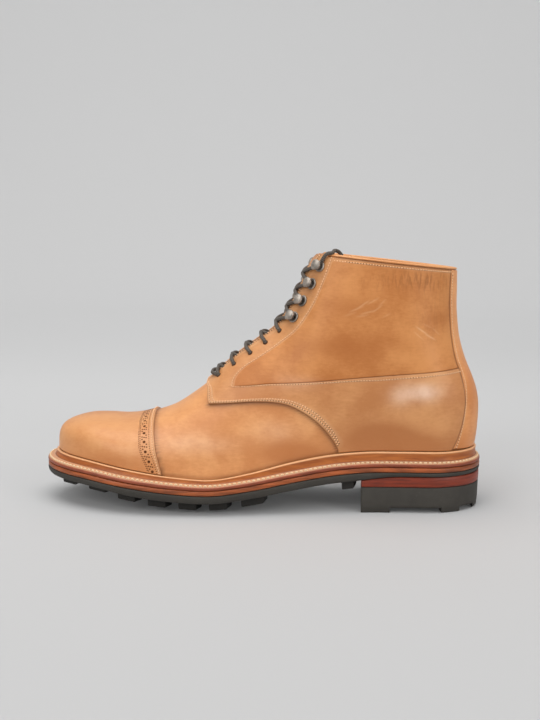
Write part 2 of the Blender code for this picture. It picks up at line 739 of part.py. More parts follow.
def make_outsole():
    """Rubber base with the forefoot's main lugs joined on; the lugs that reach the floor are flat there."""
    levels = ((margin(-1.6), 0.0), (margin(-0.2), 0.35), (margin(0.0), 0.8), (margin(-0.3), 1.0))

    def heights(x, y):
        return sole_underside(x, y), SOLE["edge_z"](x) - sole_dip(x, y) - GAP

    points, faces = slab(FULL, levels, heights)
    base = add_mesh("outsole", points, faces, "dark_rubber")
    corners, sides = [], []
    for x, half in LUG_ROWS:
        for t_from, t_to in LUG_COLUMNS:
            lug_points, lug_faces = lug(x, half, t_from, t_to)
            sides += [[k + len(corners) for k in face] for face in lug_faces]
            corners += lug_points
    boolean(base, helper("outsole_lugs", corners, sides), "UNION")
    return base


def lug(x, half, t_from, t_to):
    """One lug: a block between two shares of the sole's width, from inside the base to its tread face."""
    middle = (t_from + t_to) / 2
    slant = -3.0 * math.copysign(1.0, middle)
    points = []
    for depth, taper in ((-2.0, 0.0), (float(lug_height(x)), 0.5)):
        for dx, t in ((-half, t_from), (half, t_from), (half, t_to), (-half, t_to)):
            place = x + dx * (1 - taper / half) + slant * (t - middle) / (t_to - t_from)
            low, high = edges_at(place)
            y = (low + high) / 2 + (high - low) / 2 * t
            points.append((place, float(y), max(float(sole_underside(place, y)) - depth, 0.0)))
    faces = [[0, 1, 2, 3], [7, 6, 5, 4], [0, 4, 5, 1], [1, 5, 6, 2], [2, 6, 7, 3], [3, 7, 4, 0]]
    return points, faces


def heel_angles():
    """Angles from the back of the heel to its breast."""
    back_x, front_x = row_line(0.0, 0.0)[0], row_line(0.0, 1.0)[0]
    stop = math.acos(1 - 2 * float((HEEL_FRONT_X - back_x) / (front_x - back_x)))
    return np.linspace(0.0, stop, HEEL_STEPS)


def heel_margin(extra):
    """The heel's margin: drawn in along its sides, full at the back."""
    return lambda x: SOLE["margin"](x) + extra - HEEL_INSET * (1 - smooth_step(x, 125.0, 150.0))


def breast_shift(x, y):
    """How far back the heel's breast stands: nothing at the outer edge, more towards the inner one."""
    low, high = edges_at(HEEL_FRONT_X)
    return BREAST_SKEW * (y - low) / (high - low) * (1 - smooth_step(x, *BREAST_FADE_X))


def heel_top():
    return float(sole_underside(HEEL_X, LAST_AXIS_Y)) - GAP


def make_heel_lift():
    """Leather lift, from the heel block up to the rubber layer, which it follows at the breast."""
    levels = ((heel_margin(-0.4), 0.0), (heel_margin(-0.3), 0.5), (heel_margin(-0.3), 1.0))
    low = heel_top() - LIFT_THICK
    step_x = last_point(np.zeros_like(FULL), FULL)[::-1, 0]
    step_z = sole_underside(step_x, LAST_AXIS_Y)

    def heights(x, y):
        return np.full_like(x, low), np.interp(x, step_x, step_z) - GAP

    points, faces = slab(heel_angles(), levels, heights, closed_front=False, shift=breast_shift)
    return add_mesh("heel_lift", points, faces, "lift_leather")


def make_heel_block():
    """Rubber heel with grooves across its tread."""
    top = heel_top() - LIFT_THICK - GAP
    levels = ((heel_margin(-1.2), 0.0), (heel_margin(-0.7), 0.3), (heel_margin(-0.5), 1.0))

    def heights(x, y):
        return np.zeros_like(x), np.full_like(x, top)

    points, faces = slab(heel_angles(), levels, heights, closed_front=False, shift=breast_shift)
    block = add_mesh("heel_block", points, faces, "dark_rubber")
    corners, sides = [], []
    for middle, half in HEEL_GROOVES:
        for y_from, y_to in ((-60.0, -HEEL_RIB_HALF), (HEEL_RIB_HALF, 60.0)):
            start = len(corners)
            corners += [
                (x, y, z)
                for z in (-2.0, GROOVE_DEPTH)
                for x, y in (
                    (middle - half, y_from), (middle + half, y_from),
                    (middle + half, y_to), (middle - half, y_to),
                )
            ]
            box = [[3, 2, 1, 0], [4, 5, 6, 7], [0, 1, 5, 4], [1, 2, 6, 5], [2, 3, 7, 6], [3, 0, 4, 7]]
            sides += [[k + start for k in face] for face in box]
    boolean(block, helper("heel_grooves", corners, sides), "DIFFERENCE")
    return block


def frame_at(v, phi, lift):
    """A place on the surface with its directions: backwards along the row, across it, and outwards."""
    place = lifted(v, phi, lift)
    normal = last_normal(np.asarray(v), np.asarray(phi))
    back = last_point(v, phi * 0.995) - last_point(v, phi)
    back -= normal * np.dot(back, normal)
    back /= np.linalg.norm(back)
    return place, np.stack([back, np.cross(normal, back), normal])


def punch_eyelets(pieces):
    """Round holes through the facings and the wall behind them."""
    corners, sides = [], []
    ring = np.linspace(0.0, 2 * math.pi, 8, endpoint=False)
    for x, z in EYELETS:
        v, phi = locate(x, z)
        for sign in (-1.0, 1.0):
            place, axes = frame_at(v, sign * phi, 0.0)
            start = len(corners)
            for height in (-6.0, 6.0):
                local = np.stack([np.cos(ring), np.sin(ring), np.zeros_like(ring)], axis=1) * EYELET_RADIUS
                local[:, 2] = height
                corners += (place + local @ axes).tolist()
            count = len(ring)
            sides += [[start + k for k in range(count)], [start + count + k for k in range(count)]]
            sides += [
                [start + k, start + (k + 1) % count, start + count + (k + 1) % count, start + count + k]
                for k in range(count)
            ]
    cutter = helper("eyelet_punch", corners, sides)
    for piece in pieces:
        boolean(piece, cutter, "DIFFERENCE")


# The hook's arm: one row for each section, as its place back and out from the base, and its width
HOOK_ARM = (
    (-2.7, 0.2, 4.6), (-3.3, 1.7, 5.0), (-2.9, 3.3, 5.6), (-1.5, 4.6, 6.0), (0.6, 5.0, 5.6), (2.7, 4.6, 3.4),
)
HOOK_ARM_THICK = 1.0


def make_hook(name, v, phi):
    """A speed hook: a round base, and an arm that rises on the throat's side and curls back over it."""
    place, axes = frame_at(v, phi, GAP + QUARTER_THICK + HOOK_CLEAR)
    ring = np.linspace(0.0, 2 * math.pi, 8, endpoint=False)
    rim = HOOK_BASE_RADIUS * np.stack([np.cos(ring), np.sin(ring)], axis=1)
    disc = [(back, across, z) for z in (0.0, HOOK_BASE_THICK) for back, across in rim]
    count = len(ring)
    disc_faces = [list(range(count))[::-1], list(range(count, 2 * count))]
    disc_faces += [[k, (k + 1) % count, count + (k + 1) % count, count + k] for k in range(count)]
    arm = np.array(HOOK_ARM)
    run = np.gradient(arm[:, :2], axis=0)
    run /= np.linalg.norm(run, axis=1, keepdims=True)
    out = np.stack([-run[:, 1], run[:, 0]], axis=1) * HOOK_ARM_THICK / 2
    loops = []
    for (back, height, width), (db, dh) in zip(arm, out):
        loops.append([
            (back + s * db, w * width / 2, height + s * dh)
            for s, w in ((-1, -1), (-1, 1), (1, 0.8), (1, -0.8))
        ])
    arm_points = np.array(loops).reshape(-1, 3)
    arm_faces = [[3, 2, 1, 0], [len(arm_points) - 4 + k for k in range(4)]]
    for i in range(len(loops) - 1):
        low = 4 * i
        arm_faces += [[low + k, low + (k + 1) % 4, low + 4 + (k + 1) % 4, low + 4 + k] for k in range(4)]
    hook = add_mesh(name, place + np.array(disc) @ axes, disc_faces, "bronze_hook")
    boolean(hook, helper(f"{name}_arm", place + arm_points @ axes, arm_faces), "UNION")
    return hook


def lacing():
    """Row shares and angles where the lace turns: over the eyelets, and on the throat's side of the hooks."""
    places = np.array(EYELETS + HOOKS)
    v, phi = locate(places[:, 0], places[:, 1])
    turn = 0.01
    rate = np.linalg.norm(last_point(v, phi + turn) - last_point(v, phi - turn), axis=-1) / (2 * turn)
    setback = np.where(np.arange(len(places)) < len(EYELETS), 0.0, HOOK_SETBACK)
    return v, phi + setback / rate


def strand(first):
    """One zigzag of the lace: from a side's lowest eyelet, over to the other side at each step."""
    v, phi = lacing()
    route = []
    side = first
    for k in range(len(v) - 1):
        start, end = side * phi[k], side * (2 * math.pi - phi[k + 1])
        t = np.linspace(0.0, 1.0, LACE_STEPS, endpoint=False)
        route.append(lifted(v[k] + (v[k + 1] - v[k]) * t, start + (end - start) * t, LACE_LIFT))
        side = -side
    route.append(lifted(v[-1:], side * phi[-1:], LACE_LIFT))
    return np.concatenate(route)


def tube(route, radius, sides=4):
    """A closed tube along a route."""
    run = np.gradient(route, axis=0)
    run /= np.linalg.norm(run, axis=1, keepdims=True)
    across = np.cross(run, (0.3, 0.1, 1.0))
    across /= np.linalg.norm(across, axis=1, keepdims=True)
    up = np.cross(run, across)
    angle = np.linspace(0.0, 2 * math.pi, sides, endpoint=False)
    ring = across[:, None] * np.cos(angle)[:, None] + up[:, None] * np.sin(angle)[:, None]
    points = (route[:, None] + radius * ring).reshape(-1, 3)
    index = np.arange(len(points)).reshape(-1, sides)
    near, far = index[:-1], index[1:]
    side_faces = np.stack([near, np.roll(near, -1, 1), np.roll(far, -1, 1), far], axis=-1)
    return points, [*side_faces.reshape(-1, 4).tolist(), index[0].tolist(), index[-1].tolist()]


def make_lace():
    """Both zigzags and the bar below them, joined."""
    v, phi = lacing()
    lace = add_mesh("lace", *tube(strand(-1.0), LACE_RADIUS), "lace_cotton")
    boolean(lace, helper("lace_second", *tube(strand(1.0), LACE_RADIUS)), "UNION")
    bar = lifted(np.full(7, v[0]), np.linspace(phi[0], 2 * math.pi - phi[0], 7), LACE_LIFT)
    boolean(lace, helper("lace_bar", *tube(bar, LACE_RADIUS)), "UNION")
    return lace


def main():
    for obj in list(bpy.data.objects):
        bpy.data.objects.remove(obj, do_unlink=True)
    make_outsole()
    make_heel_block()
    make_heel_lift()
    make_midsole()
    make_welt()
    make_insole()
    make_tongue()
    pierced = [make_upper()]
    make_toe_cap()
    for side in SIDES:
        pierced.append(make_quarter(side))
        make_leg(side)
    make_back_strip()
    punch_eyelets(pierced)
    for k, (x, z) in enumerate(HOOKS, 1):
        v, phi = locate(x, z)
        make_hook(f"hook_outer_{k}", v, -phi)
        make_hook(f"hook_inner_{k}", v, phi)
    make_lace()


main()
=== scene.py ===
"""Looks of the navvy boot, built over its solids: leather on the last, welt, sole, hooks, lace, stitches.

The toe points to -X, the outer side faces -Y and the floor is z = 0.
Sizes are in millimetres until a mesh is made.
"""

import math

import bpy
import numpy as np
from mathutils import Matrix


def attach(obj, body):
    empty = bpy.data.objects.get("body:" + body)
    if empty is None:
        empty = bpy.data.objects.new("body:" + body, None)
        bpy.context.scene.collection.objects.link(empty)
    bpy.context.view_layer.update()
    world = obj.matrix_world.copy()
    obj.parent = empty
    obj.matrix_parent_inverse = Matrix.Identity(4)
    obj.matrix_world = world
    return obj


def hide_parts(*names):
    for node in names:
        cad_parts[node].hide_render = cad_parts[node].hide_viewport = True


bl_info = {
    "name": "Navvy boot",
    "version": (1, 0, 0),
    "blender": (4, 5, 0),
    "location": "View3D > Sidebar > Navvy boot",
    "description": "Dresses the boot's solids in leather panels, welt, rubber, lace and stitches",
    "category": "Object",
}

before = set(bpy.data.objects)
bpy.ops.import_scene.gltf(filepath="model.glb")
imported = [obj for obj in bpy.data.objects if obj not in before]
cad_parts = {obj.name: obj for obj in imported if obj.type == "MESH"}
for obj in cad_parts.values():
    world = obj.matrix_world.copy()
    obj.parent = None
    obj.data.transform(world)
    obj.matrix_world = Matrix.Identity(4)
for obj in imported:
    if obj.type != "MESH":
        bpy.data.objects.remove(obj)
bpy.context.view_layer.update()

MM = 0.001
GAP = 0.3

# Driving sizes of the last
TOE_X = -146.5
TOE_START_X = -75.0
TOE_ROUNDNESS = 2.1
TOE_SWING = 7.0
LAST_AXIS_Y = -2.4
HEEL_X = 151.6
FEATHER_BACK_X = 148.5
COLLAR_FRONT_X = 34.0
COLLAR_FRONT_Z = 178.3
COLLAR_BACK_Z = 168.5
COLLAR_SLOPE = (COLLAR_FRONT_Z - COLLAR_BACK_Z) / 100.0
COLLAR_BAND = 1.6
LEG_HALF_WIDTH = 36.5
LEG_FULL_HEIGHT = 60.0
LEG_FADE_X = (-60.0, 15.0)
HEEL_ROUND_LOW = 36.0
HEEL_ROUND_HIGH = 46.0
HEEL_ROUND_Z = 60.0
ROW_TILT = 1.8
ROW_SETTLE = 3.0

# Thicknesses of the pieces
UPPER_WALL = 2.2
CAP_THICK = 1.2
QUARTER_THICK = 1.5
LEG_THICK = 1.0
STRIP_THICK = 2.0
TONGUE_THICK = 1.6
TONGUE_CLEAR = 1.12
TONGUE_UNDER = 0.04
TONGUE_HALF_ANGLES = (0.52, 0.64)
INSOLE_THICK = 3.0
WELT_THICK = 3.4
MIDSOLE_THICK = 3.3
LIFT_THICK = 7.2
LIP_HEIGHT = 7.0
LUG_HEIGHT = 6.2
LUG_TOE = 3.2
LUG_SLANT = 3.0
LUG_ROOT = 2.0
LUG_TAPER = 0.5
RUBBER_TOE = 4.4
RUBBER_FORE = 5.6
RUBBER_HEEL = 3.0
RUBBER_FADE_X = (60.0, 95.0)
TOE_FADE_X = (-125.0, -75.0)
DIP_RIM = 15.0
DIP_FADE_X = (-140.0, -112.0)
DIP_POWER = 2.5
HEEL_INSET = 2.0
HEEL_INSET_X = (125.0, 150.0)

# The back strip's leather as drawn, thinner than its solid
STRIP_CUT = STRIP_THICK - 0.7

# Throat, facings and lacing
THROAT_ROW = 11
THROAT_OPENS = 0.05
SLIT_HALF = 6.5
SLIT_CORNER = 21.0
CORNER_SHARE = 0.935

# One row for each section along the sole: midsole's underside at the edge, its dip in the middle, the last's
# half widths at the feather line, how far the welt stands out, and how high its lip rises
SOLE_COLUMNS = ("x", "edge_z", "dip", "half_out", "half_in", "margin", "lip")
SOLE_SECTIONS = (
    (-156.0, 24.0, 0.0, 42.5, 45.0, 9.4, 4.8),
    (-120.0, 22.2, 2.6, 42.8, 45.4, 9.0, 4.6),
    (-90.0, 18.4, 4.0, 43.3, 46.0, 8.6, 4.1),
    (-60.0, 15.4, 4.4, 44.0, 46.8, 8.5, 3.3),
    (-35.0, 14.4, 4.4, 43.0, 45.0, 8.5, 2.8),
    (-10.0, 17.2, 3.4, 40.0, 39.0, 8.2, 4.2),
    (20.0, 22.6, 1.4, 36.5, 32.0, 7.4, 6.4),
    (45.0, 26.6, 0.4, 33.6, 29.0, 6.8, 7.0),
    (70.0, 28.9, 0.0, 32.2, 29.6, 6.2, 7.0),
    (95.0, 29.2, 0.0, 32.0, 31.2, 6.0, 7.0),
    (130.0, 29.2, 0.0, 32.4, 32.4, 6.4, 7.0),
    (156.0, 29.2, 0.0, 32.4, 32.4, 7.2, 7.0),
)

# One row for each section of the ridge: its height before the toe rounds off, and how square the section is
RIDGE_COLUMNS = ("x", "z", "squareness")
RIDGE_SECTIONS = (
    (-156.0, 61.8, 6.5),
    (-139.0, 62.0, 5.9),
    (-124.0, 62.2, 5.2),
    (-112.0, 60.9, 4.5),
    (-98.0, 59.5, 3.8),
    (-86.0, 60.6, 3.3),
    (-75.0, 63.9, 2.9),
    (-63.0, 68.6, 2.6),
    (-52.0, 75.8, 2.4),
    (-40.0, 85.0, 2.3),
    (-23.0, 101.5, 2.2),
    (-2.0, 118.3, 2.2),
    (8.3, 126.0, 2.2),
    (15.0, 134.0, 2.2),
    (20.5, 143.3, 2.2),
    (24.7, 151.5, 2.2),
    (28.4, 160.0, 2.2),
    (33.0, 174.0, 2.2),
    (35.0, 181.0, 2.2),
    (60.0, 268.0, 2.2),
    (160.0, 618.0, 2.2),
)

# One row for each level of the back seam
BACK_COLUMNS = ("z", "x")
BACK_SECTIONS = (
    (30.0, 147.6),
    (40.0, 149.0),
    (50.0, 150.7),
    (59.7, 151.4),
    (68.4, 151.6),
    (77.0, 151.0),
    (85.7, 148.9),
    (94.4, 145.5),
    (103.0, 141.7),
    (111.6, 138.6),
    (120.2, 136.3),
    (131.6, 134.6),
    (141.4, 133.7),
    (152.8, 133.5),
    (172.0, 133.0),
)

# Rows of the upper's grid, as shares of the way up the front from the feather line to the collar
ROW_SHARES = (
    0.0, 0.035, 0.065, 0.095, 0.125, 0.165, 0.22, 0.285, 0.355, 0.425, 0.485, 0.535,
    0.57, 0.63, 0.71, 0.79, 0.87, 0.94, 1.0,
)

# Seam lines of the outer side, as x and z along each
CAP_SEAM = ((-67.5, 20.0), (-69.5, 30.0), (-73.0, 42.0), (-75.2, 54.0), (-76.6, 64.0), (-77.5, 75.0))
QUARTER_SEAM = (
    (-37.5, 73.2), (-25.0, 74.4), (-8.0, 76.0), (6.0, 76.1), (17.0, 74.5), (26.5, 70.3),
    (36.3, 63.6), (44.3, 55.2), (50.2, 46.4), (53.3, 36.0),
)
LEG_SEAM = ((-20.0, 84.9), (0.8, 87.8), (24.6, 89.8), (58.5, 93.6), (92.4, 96.8), (136.0, 100.2))
FACING_SEAM = (
    (-20.0, 84.9), (-18.8, 90.0), (-13.2, 97.0), (-3.3, 104.0), (11.0, 113.7), (23.6, 124.7),
    (35.0, 142.8), (39.4, 153.3), (44.7, 166.9), (49.0, 180.0),
)
STRIP_SEAM = (
    (127.5, 30.0), (130.0, 42.9), (132.8, 51.8), (135.5, 64.0), (137.0, 79.6), (136.6, 88.7), (134.6, 97.2),
    (131.8, 104.8), (128.3, 121.5), (126.6, 140.2), (127.3, 180.0),
)

# Lacing places on the outer side: punched eyelets below, hooks above
EYELETS = ((-30.7, 90.6), (-20.2, 98.8), (-9.0, 106.8), (1.4, 114.2), (11.5, 122.7))
HOOKS = ((21.5, 132.8), (27.6, 144.2), (33.8, 156.4), (38.9, 168.6))

# Tread: rows of lugs as x and half length along x, the last row before the heel's breast; heel grooves as
# their middle and half length
LUG_ROWS = (
    (-134.0, 5.5), (-113.0, 6.5), (-92.0, 6.5), (-71.0, 6.5), (-50.0, 6.5), (-29.0, 6.5), (-5.5, 8.0),
    (60.3, 4.6),
)
LUG_COLUMNS = ((-0.84, -0.52), (-0.36, -0.06), (0.06, 0.36), (0.52, 0.84))
HEEL_FRONT_X = 67.6
BREAST_SKEW = 7.0
BREAST_FADE_X = (67.6, 100.0)
HEEL_GROOVES = ((106.0, 18.0), (143.0, 5.5))
GROOVE_DEPTH = 3.6
GROOVE_START = -2.0
GROOVE_REACH = 60.0
HEEL_RIB_HALF = 9.0


def curve_through(knots, values):
    """A smooth function through a table's column: cubic pieces with the slopes of their neighbours."""
    knots = np.asarray(knots, float)
    values = np.asarray(values, float)
    slopes = np.gradient(values, knots)

    def at(place):
        place = np.asarray(place, float)
        inside = np.clip(place, knots[0], knots[-1])
        i = np.clip(np.searchsorted(knots, inside) - 1, 0, len(knots) - 2)
        step = knots[i + 1] - knots[i]
        t = (inside - knots[i]) / step
        rise = values[i + 1] - values[i]
        bend = (slopes[i] * step - rise) * (1 - t) + (rise - slopes[i + 1] * step) * t
        beyond = np.where(place > inside, slopes[-1], slopes[0]) * (place - inside)
        return values[i] + rise * t + t * (1 - t) * bend + beyond

    return at


def columns_of(names, rows):
    """Each column after the first as a smooth function of the first."""
    table = np.array(rows, float)
    return {name: curve_through(table[:, 0], table[:, k]) for k, name in enumerate(names) if k}


SOLE = columns_of(SOLE_COLUMNS, SOLE_SECTIONS)
RIDGE = columns_of(RIDGE_COLUMNS, RIDGE_SECTIONS)
BACK = columns_of(BACK_COLUMNS, BACK_SECTIONS)


def smooth_step(value, low, high):
    """0 below low, 1 above high, smooth between."""
    t = np.clip((value - low) / (high - low), 0.0, 1.0)
    return t * t * (3 - 2 * t)


def unit(vectors):
    """Vectors scaled to length one."""
    return vectors / np.linalg.norm(vectors, axis=-1, keepdims=True)


def circle(count):
    """Even angles round a full turn."""
    return np.linspace(0.0, 2 * math.pi, count, endpoint=False)


def travelled(path):
    """Length along a polyline at each of its points."""
    return np.concatenate([[0.0], np.cumsum(np.linalg.norm(np.diff(path, axis=0), axis=1))])


def sampled(path, length, t):
    """Points of a polyline at lengths t along it."""
    return np.stack([np.interp(t, length, column) for column in path.T], axis=1)


def halved(low, high, under, steps):
    """The place between two bounds up to which a test holds, by halving."""
    for _ in range(steps):
        middle = (low + high) / 2
        found = under(middle)
        low, high = np.where(found, middle, low), np.where(found, high, middle)
    return low


def axis_y(x):
    """The line that the last's two sides are measured from; it swings to the inner side at the toe."""
    return LAST_AXIS_Y + TOE_SWING * np.square(np.clip(x / TOE_X, 0.0, None))


def feather_z(x):
    """Height of the upper's lower edge, on the welt."""
    return SOLE["edge_z"](x) + MIDSOLE_THICK + WELT_THICK + 2 * GAP


def toe_share(x):
    """How far the toe has rounded off: none behind it, all at its tip."""
    return np.clip((TOE_START_X - x) / (TOE_START_X - TOE_X), 0.0, 1.0) ** TOE_ROUNDNESS


def half_width(x, z, outer):
    """Half width of the last at a place of its side view: full at the feather line, none on its outline."""
    low = feather_z(x)
    height = np.clip((z - low) / (RIDGE["z"](x) - low), 0.0, 1.0)
    foot = np.where(outer, SOLE["half_out"](x), SOLE["half_in"](x))
    leg = smooth_step(z - low, 0.0, LEG_FULL_HEIGHT) * smooth_step(x, *LEG_FADE_X)
    full = foot + (LEG_HALF_WIDTH - foot) * leg
    rise = smooth_step(z, HEEL_ROUND_Z, COLLAR_BACK_Z)
    heel_round = HEEL_ROUND_LOW + (HEEL_ROUND_HIGH - HEEL_ROUND_LOW) * rise
    back = np.clip(1 - (BACK["x"](z) - x) / heel_round, 0.0, 1.0)
    top = 1 - toe_share(x) - height ** RIDGE["squareness"](x)
    return full * np.sqrt(np.clip(top, 0.0, None) * (1 - back * back))


def front_line():
    """The last's front outline from the toe's feather line to the collar, as points along it."""
    s = np.linspace(0.0, 1.0, 20000)
    x = TOE_X + (2 * COLLAR_FRONT_X - TOE_X) * s**3
    low = feather_z(x)
    z = low + (RIDGE["z"](x) - low) * (1 - toe_share(x)) ** (1 / RIDGE["squareness"](x))
    keep = z <= COLLAR_FRONT_Z - COLLAR_SLOPE * (x - COLLAR_FRONT_X)
    return x[keep], z[keep]


FRONT_X, FRONT_Z = front_line()
FRONT_SHARE = np.concatenate([[0.0], np.cumsum(np.hypot(np.diff(FRONT_X), np.diff(FRONT_Z)))])
FRONT_SHARE = FRONT_SHARE / FRONT_SHARE[-1]
BACK_LOW_Z = float(feather_z(FEATHER_BACK_X))


def row_line(v, f):
    """Side view of a row of the upper: v is its share of the height, f runs from the back to the front."""
    back_z = BACK_LOW_Z + (COLLAR_BACK_Z - BACK_LOW_Z) * v**ROW_TILT
    back_x = BACK["x"](back_z)
    x = back_x + (np.interp(v, FRONT_SHARE, FRONT_X) - back_x) * f
    straight = back_z + (np.interp(v, FRONT_SHARE, FRONT_Z) - back_z) * f
    first_x = BACK["x"](BACK_LOW_Z) + (FRONT_X[0] - BACK["x"](BACK_LOW_Z)) * f
    first_z = BACK_LOW_Z + (FRONT_Z[0] - BACK_LOW_Z) * f
    return x, straight + (feather_z(first_x) - first_z) * (1 - v) ** ROW_SETTLE


def row_at(v, phi):
    """Side view of a row at an angle: 0 at the back, pi at the front."""
    return row_line(v, (1 - np.cos(phi)) / 2)


def last_point(v, phi):
    """Point of the upper's outside: phi is 0 at the back and pi at the front, negative on the outer side."""
    phi = (phi + math.pi) % (2 * math.pi) - math.pi
    x, z = row_at(v, phi)
    return np.stack([x, axis_y(x) + np.sign(phi) * half_width(x, z, phi < 0), z], axis=-1)


def last_normal(v, phi):
    """Outward direction of that surface, from small steps along it."""
    rise, turn = 2e-3, 2e-2
    up = last_point(np.clip(v + rise, 0, 1), phi) - last_point(np.clip(v - rise, 0, 1), phi)
    around = last_point(v, phi + turn) - last_point(v, phi - turn)
    return unit(np.cross(around, up))


def lifted(v, phi, lift):
    """Points a lift out from the upper's surface."""
    v, phi = np.broadcast_arrays(np.asarray(v, float), np.asarray(phi, float))
    return last_point(v, phi) + lift * last_normal(v, phi)


def locate(x, z):
    """Row share and angle of a place of the side view, by halving; the angle is that of the inner side."""
    x, z = np.broadcast_arrays(np.asarray(x, float), np.asarray(z, float))
    low, high = np.zeros(x.shape), np.ones(x.shape)
    for _ in range(40):
        v = (low + high) / 2
        back_x, front_x = row_line(v, 0.0)[0], row_line(v, 1.0)[0]
        share = np.clip((x - back_x) / (front_x - back_x), 0.0, 1.0)
        under = row_line(v, share)[1] < z
        low, high = np.where(under, v, low), np.where(under, high, v)
    return v, np.arccos(1 - 2 * share)


def slit_angle(v, half_gap, outer):
    """Angle at which a row comes within half_gap of the boot's middle, by halving."""

    def wide(phi):
        return half_width(*row_at(v, phi), outer) > half_gap

    return halved(np.full(np.shape(v), math.pi / 2), np.full(np.shape(v), math.pi), wide, 40)


ROWS = np.array(ROW_SHARES)


def slit_half(v):
    """Half of the gap between the facings: it opens at the throat and flares at the rounded top corner."""
    opened = np.clip((v - ROWS[THROAT_ROW]) / THROAT_OPENS, 0.0, 1.0)
    rounded = 1 - np.sqrt(1 - np.square(np.clip((v - CORNER_SHARE) / (1 - CORNER_SHARE), 0.0, 1.0)))
    return np.sqrt(SLIT_HALF**2 * opened + (SLIT_CORNER**2 - SLIT_HALF**2) * rounded)


def throat_angle(v, outer):
    """Angle of a facing's edge at each row."""
    return slit_angle(v, slit_half(v), outer)


def along(seam, count):
    """Points evenly along a smooth seam line."""
    seam = np.array(seam, float)
    share = np.concatenate([[0.0], np.cumsum(np.hypot(*np.diff(seam, axis=0).T))])
    t = np.linspace(0.0, share[-1], count)
    return np.stack([curve_through(share, seam[:, 0])(t), curve_through(share, seam[:, 1])(t)], axis=1)


def lip_height(x):
    """Height of the storm welt's lip, which is lowest beside the ball of the foot."""
    return SOLE["lip"](x)


def lip_line(x):
    """Just above the storm welt's lip, where the overlays end."""
    return feather_z(x) + lip_height(x)


def band_line(x):
    """Just under the collar's edge, where the overlays end."""
    return COLLAR_FRONT_Z - COLLAR_SLOPE * (x - COLLAR_FRONT_X) - COLLAR_BAND


def row_above_feather(phi, rise):
    """Row share at which each angle's point stands a rise above the feather line, by halving."""

    def under(v):
        x, z = row_at(v, phi)
        return z < feather_z(x) + rise

    return halved(np.zeros_like(phi), np.full_like(phi, 0.5), under, 30)


def outline_at(phi, offset, rise=0.0):
    """Plan of the upper at a rise above the feather line, moved out by an offset: outer, then inner side."""
    turn = 1e-2
    v = row_above_feather(phi, rise)
    sides = []
    for sign in (-1.0, 1.0):
        here = last_point(v, sign * phi)
        after = last_point(v, sign * (phi + turn))
        before = last_point(v, sign * (phi - turn))
        run = (after - before)[:, :2]
        normal = unit(np.stack([run[:, 1], -run[:, 0]], axis=1) * sign)
        distance = offset(here[:, 0]) if callable(offset) else offset
        sides.append(here[:, :2] + normal * np.reshape(distance, (-1, 1)))
    return np.stack(sides)


def margin(extra):
    """How far a layer stands out from the feather line: the welt's own margin and a little more or less."""
    return lambda x: SOLE["margin"](x) + extra


EDGE_OUT, EDGE_IN = outline_at(np.linspace(0.0, math.pi, 240)[::-1], margin(0.0))


def edges_at(x):
    """The sole's outer and inner y at one x."""
    return (np.interp(x, line[:, 0], line[:, 1]) for line in (EDGE_OUT, EDGE_IN))


def sole_dip(x, y):
    """How far the sole lies below its edge: most in the middle, nothing outside the upper's wall."""
    low, high = edges_at(x)
    reach = np.maximum((high - low) / 2 - DIP_RIM, 1.0)
    share = np.abs(y - (low + high) / 2) / reach
    return SOLE["dip"](x) * smooth_step(x, *DIP_FADE_X) * np.clip(1 - share**DIP_POWER, 0.0, 1.0)


def rubber_thick(x):
    """The rubber layer: full under the forefoot and waist, thinner at the toe, thin over the heel."""
    fore = RUBBER_TOE + (RUBBER_FORE - RUBBER_TOE) * smooth_step(x, *TOE_FADE_X)
    return fore + (RUBBER_HEEL - RUBBER_FORE) * smooth_step(x, *RUBBER_FADE_X)


def lug_height(x):
    """The lugs' height, lower at the toe."""
    return LUG_TOE + (LUG_HEIGHT - LUG_TOE) * smooth_step(x, *TOE_FADE_X)


def sole_underside(x, y):
    """Height of the rubber layer's underside."""
    return SOLE["edge_z"](x) - sole_dip(x, y) - GAP - rubber_thick(x)


def lug(x, half, t_from, t_to):
    """One lug: a block between two shares of the sole's width, from inside the base to its tread face."""
    middle = (t_from + t_to) / 2
    slant = -LUG_SLANT * math.copysign(1.0, middle)
    points = []
    for depth, taper in ((-LUG_ROOT, 0.0), (float(lug_height(x)), LUG_TAPER)):
        for dx, t in ((-half, t_from), (half, t_from), (half, t_to), (-half, t_to)):
            place = x + dx * (1 - taper / half) + slant * (t - middle) / (t_to - t_from)
            low, high = edges_at(place)
            y = (low + high) / 2 + (high - low) / 2 * t
            points.append((place, float(y), max(float(sole_underside(place, y)) - depth, 0.0)))
    faces = [[0, 1, 2, 3], [7, 6, 5, 4], [0, 4, 5, 1], [1, 5, 6, 2], [2, 6, 7, 3], [3, 7, 4, 0]]
    return points, faces


def heel_angles(count):
    """Angles from the back of the heel to its breast."""
    back_x, front_x = row_line(0.0, 0.0)[0], row_line(0.0, 1.0)[0]
    stop = math.acos(1 - 2 * float((HEEL_FRONT_X - back_x) / (front_x - back_x)))
    return np.linspace(0.0, stop, count)


def heel_margin(extra):
    """The heel's margin: drawn in along its sides, full at the back."""
    return lambda x: SOLE["margin"](x) + extra - HEEL_INSET * (1 - smooth_step(x, *HEEL_INSET_X))


def breast_shift(x, y):
    """How far back the heel's breast stands: nothing at the outer edge, more towards the inner one."""
    low, high = edges_at(HEEL_FRONT_X)
    return BREAST_SKEW * (y - low) / (high - low) * (1 - smooth_step(x, *BREAST_FADE_X))


def heel_top():
    """Height of the leather lift's top."""
    return float(sole_underside(HEEL_X, LAST_AXIS_Y)) - GAP


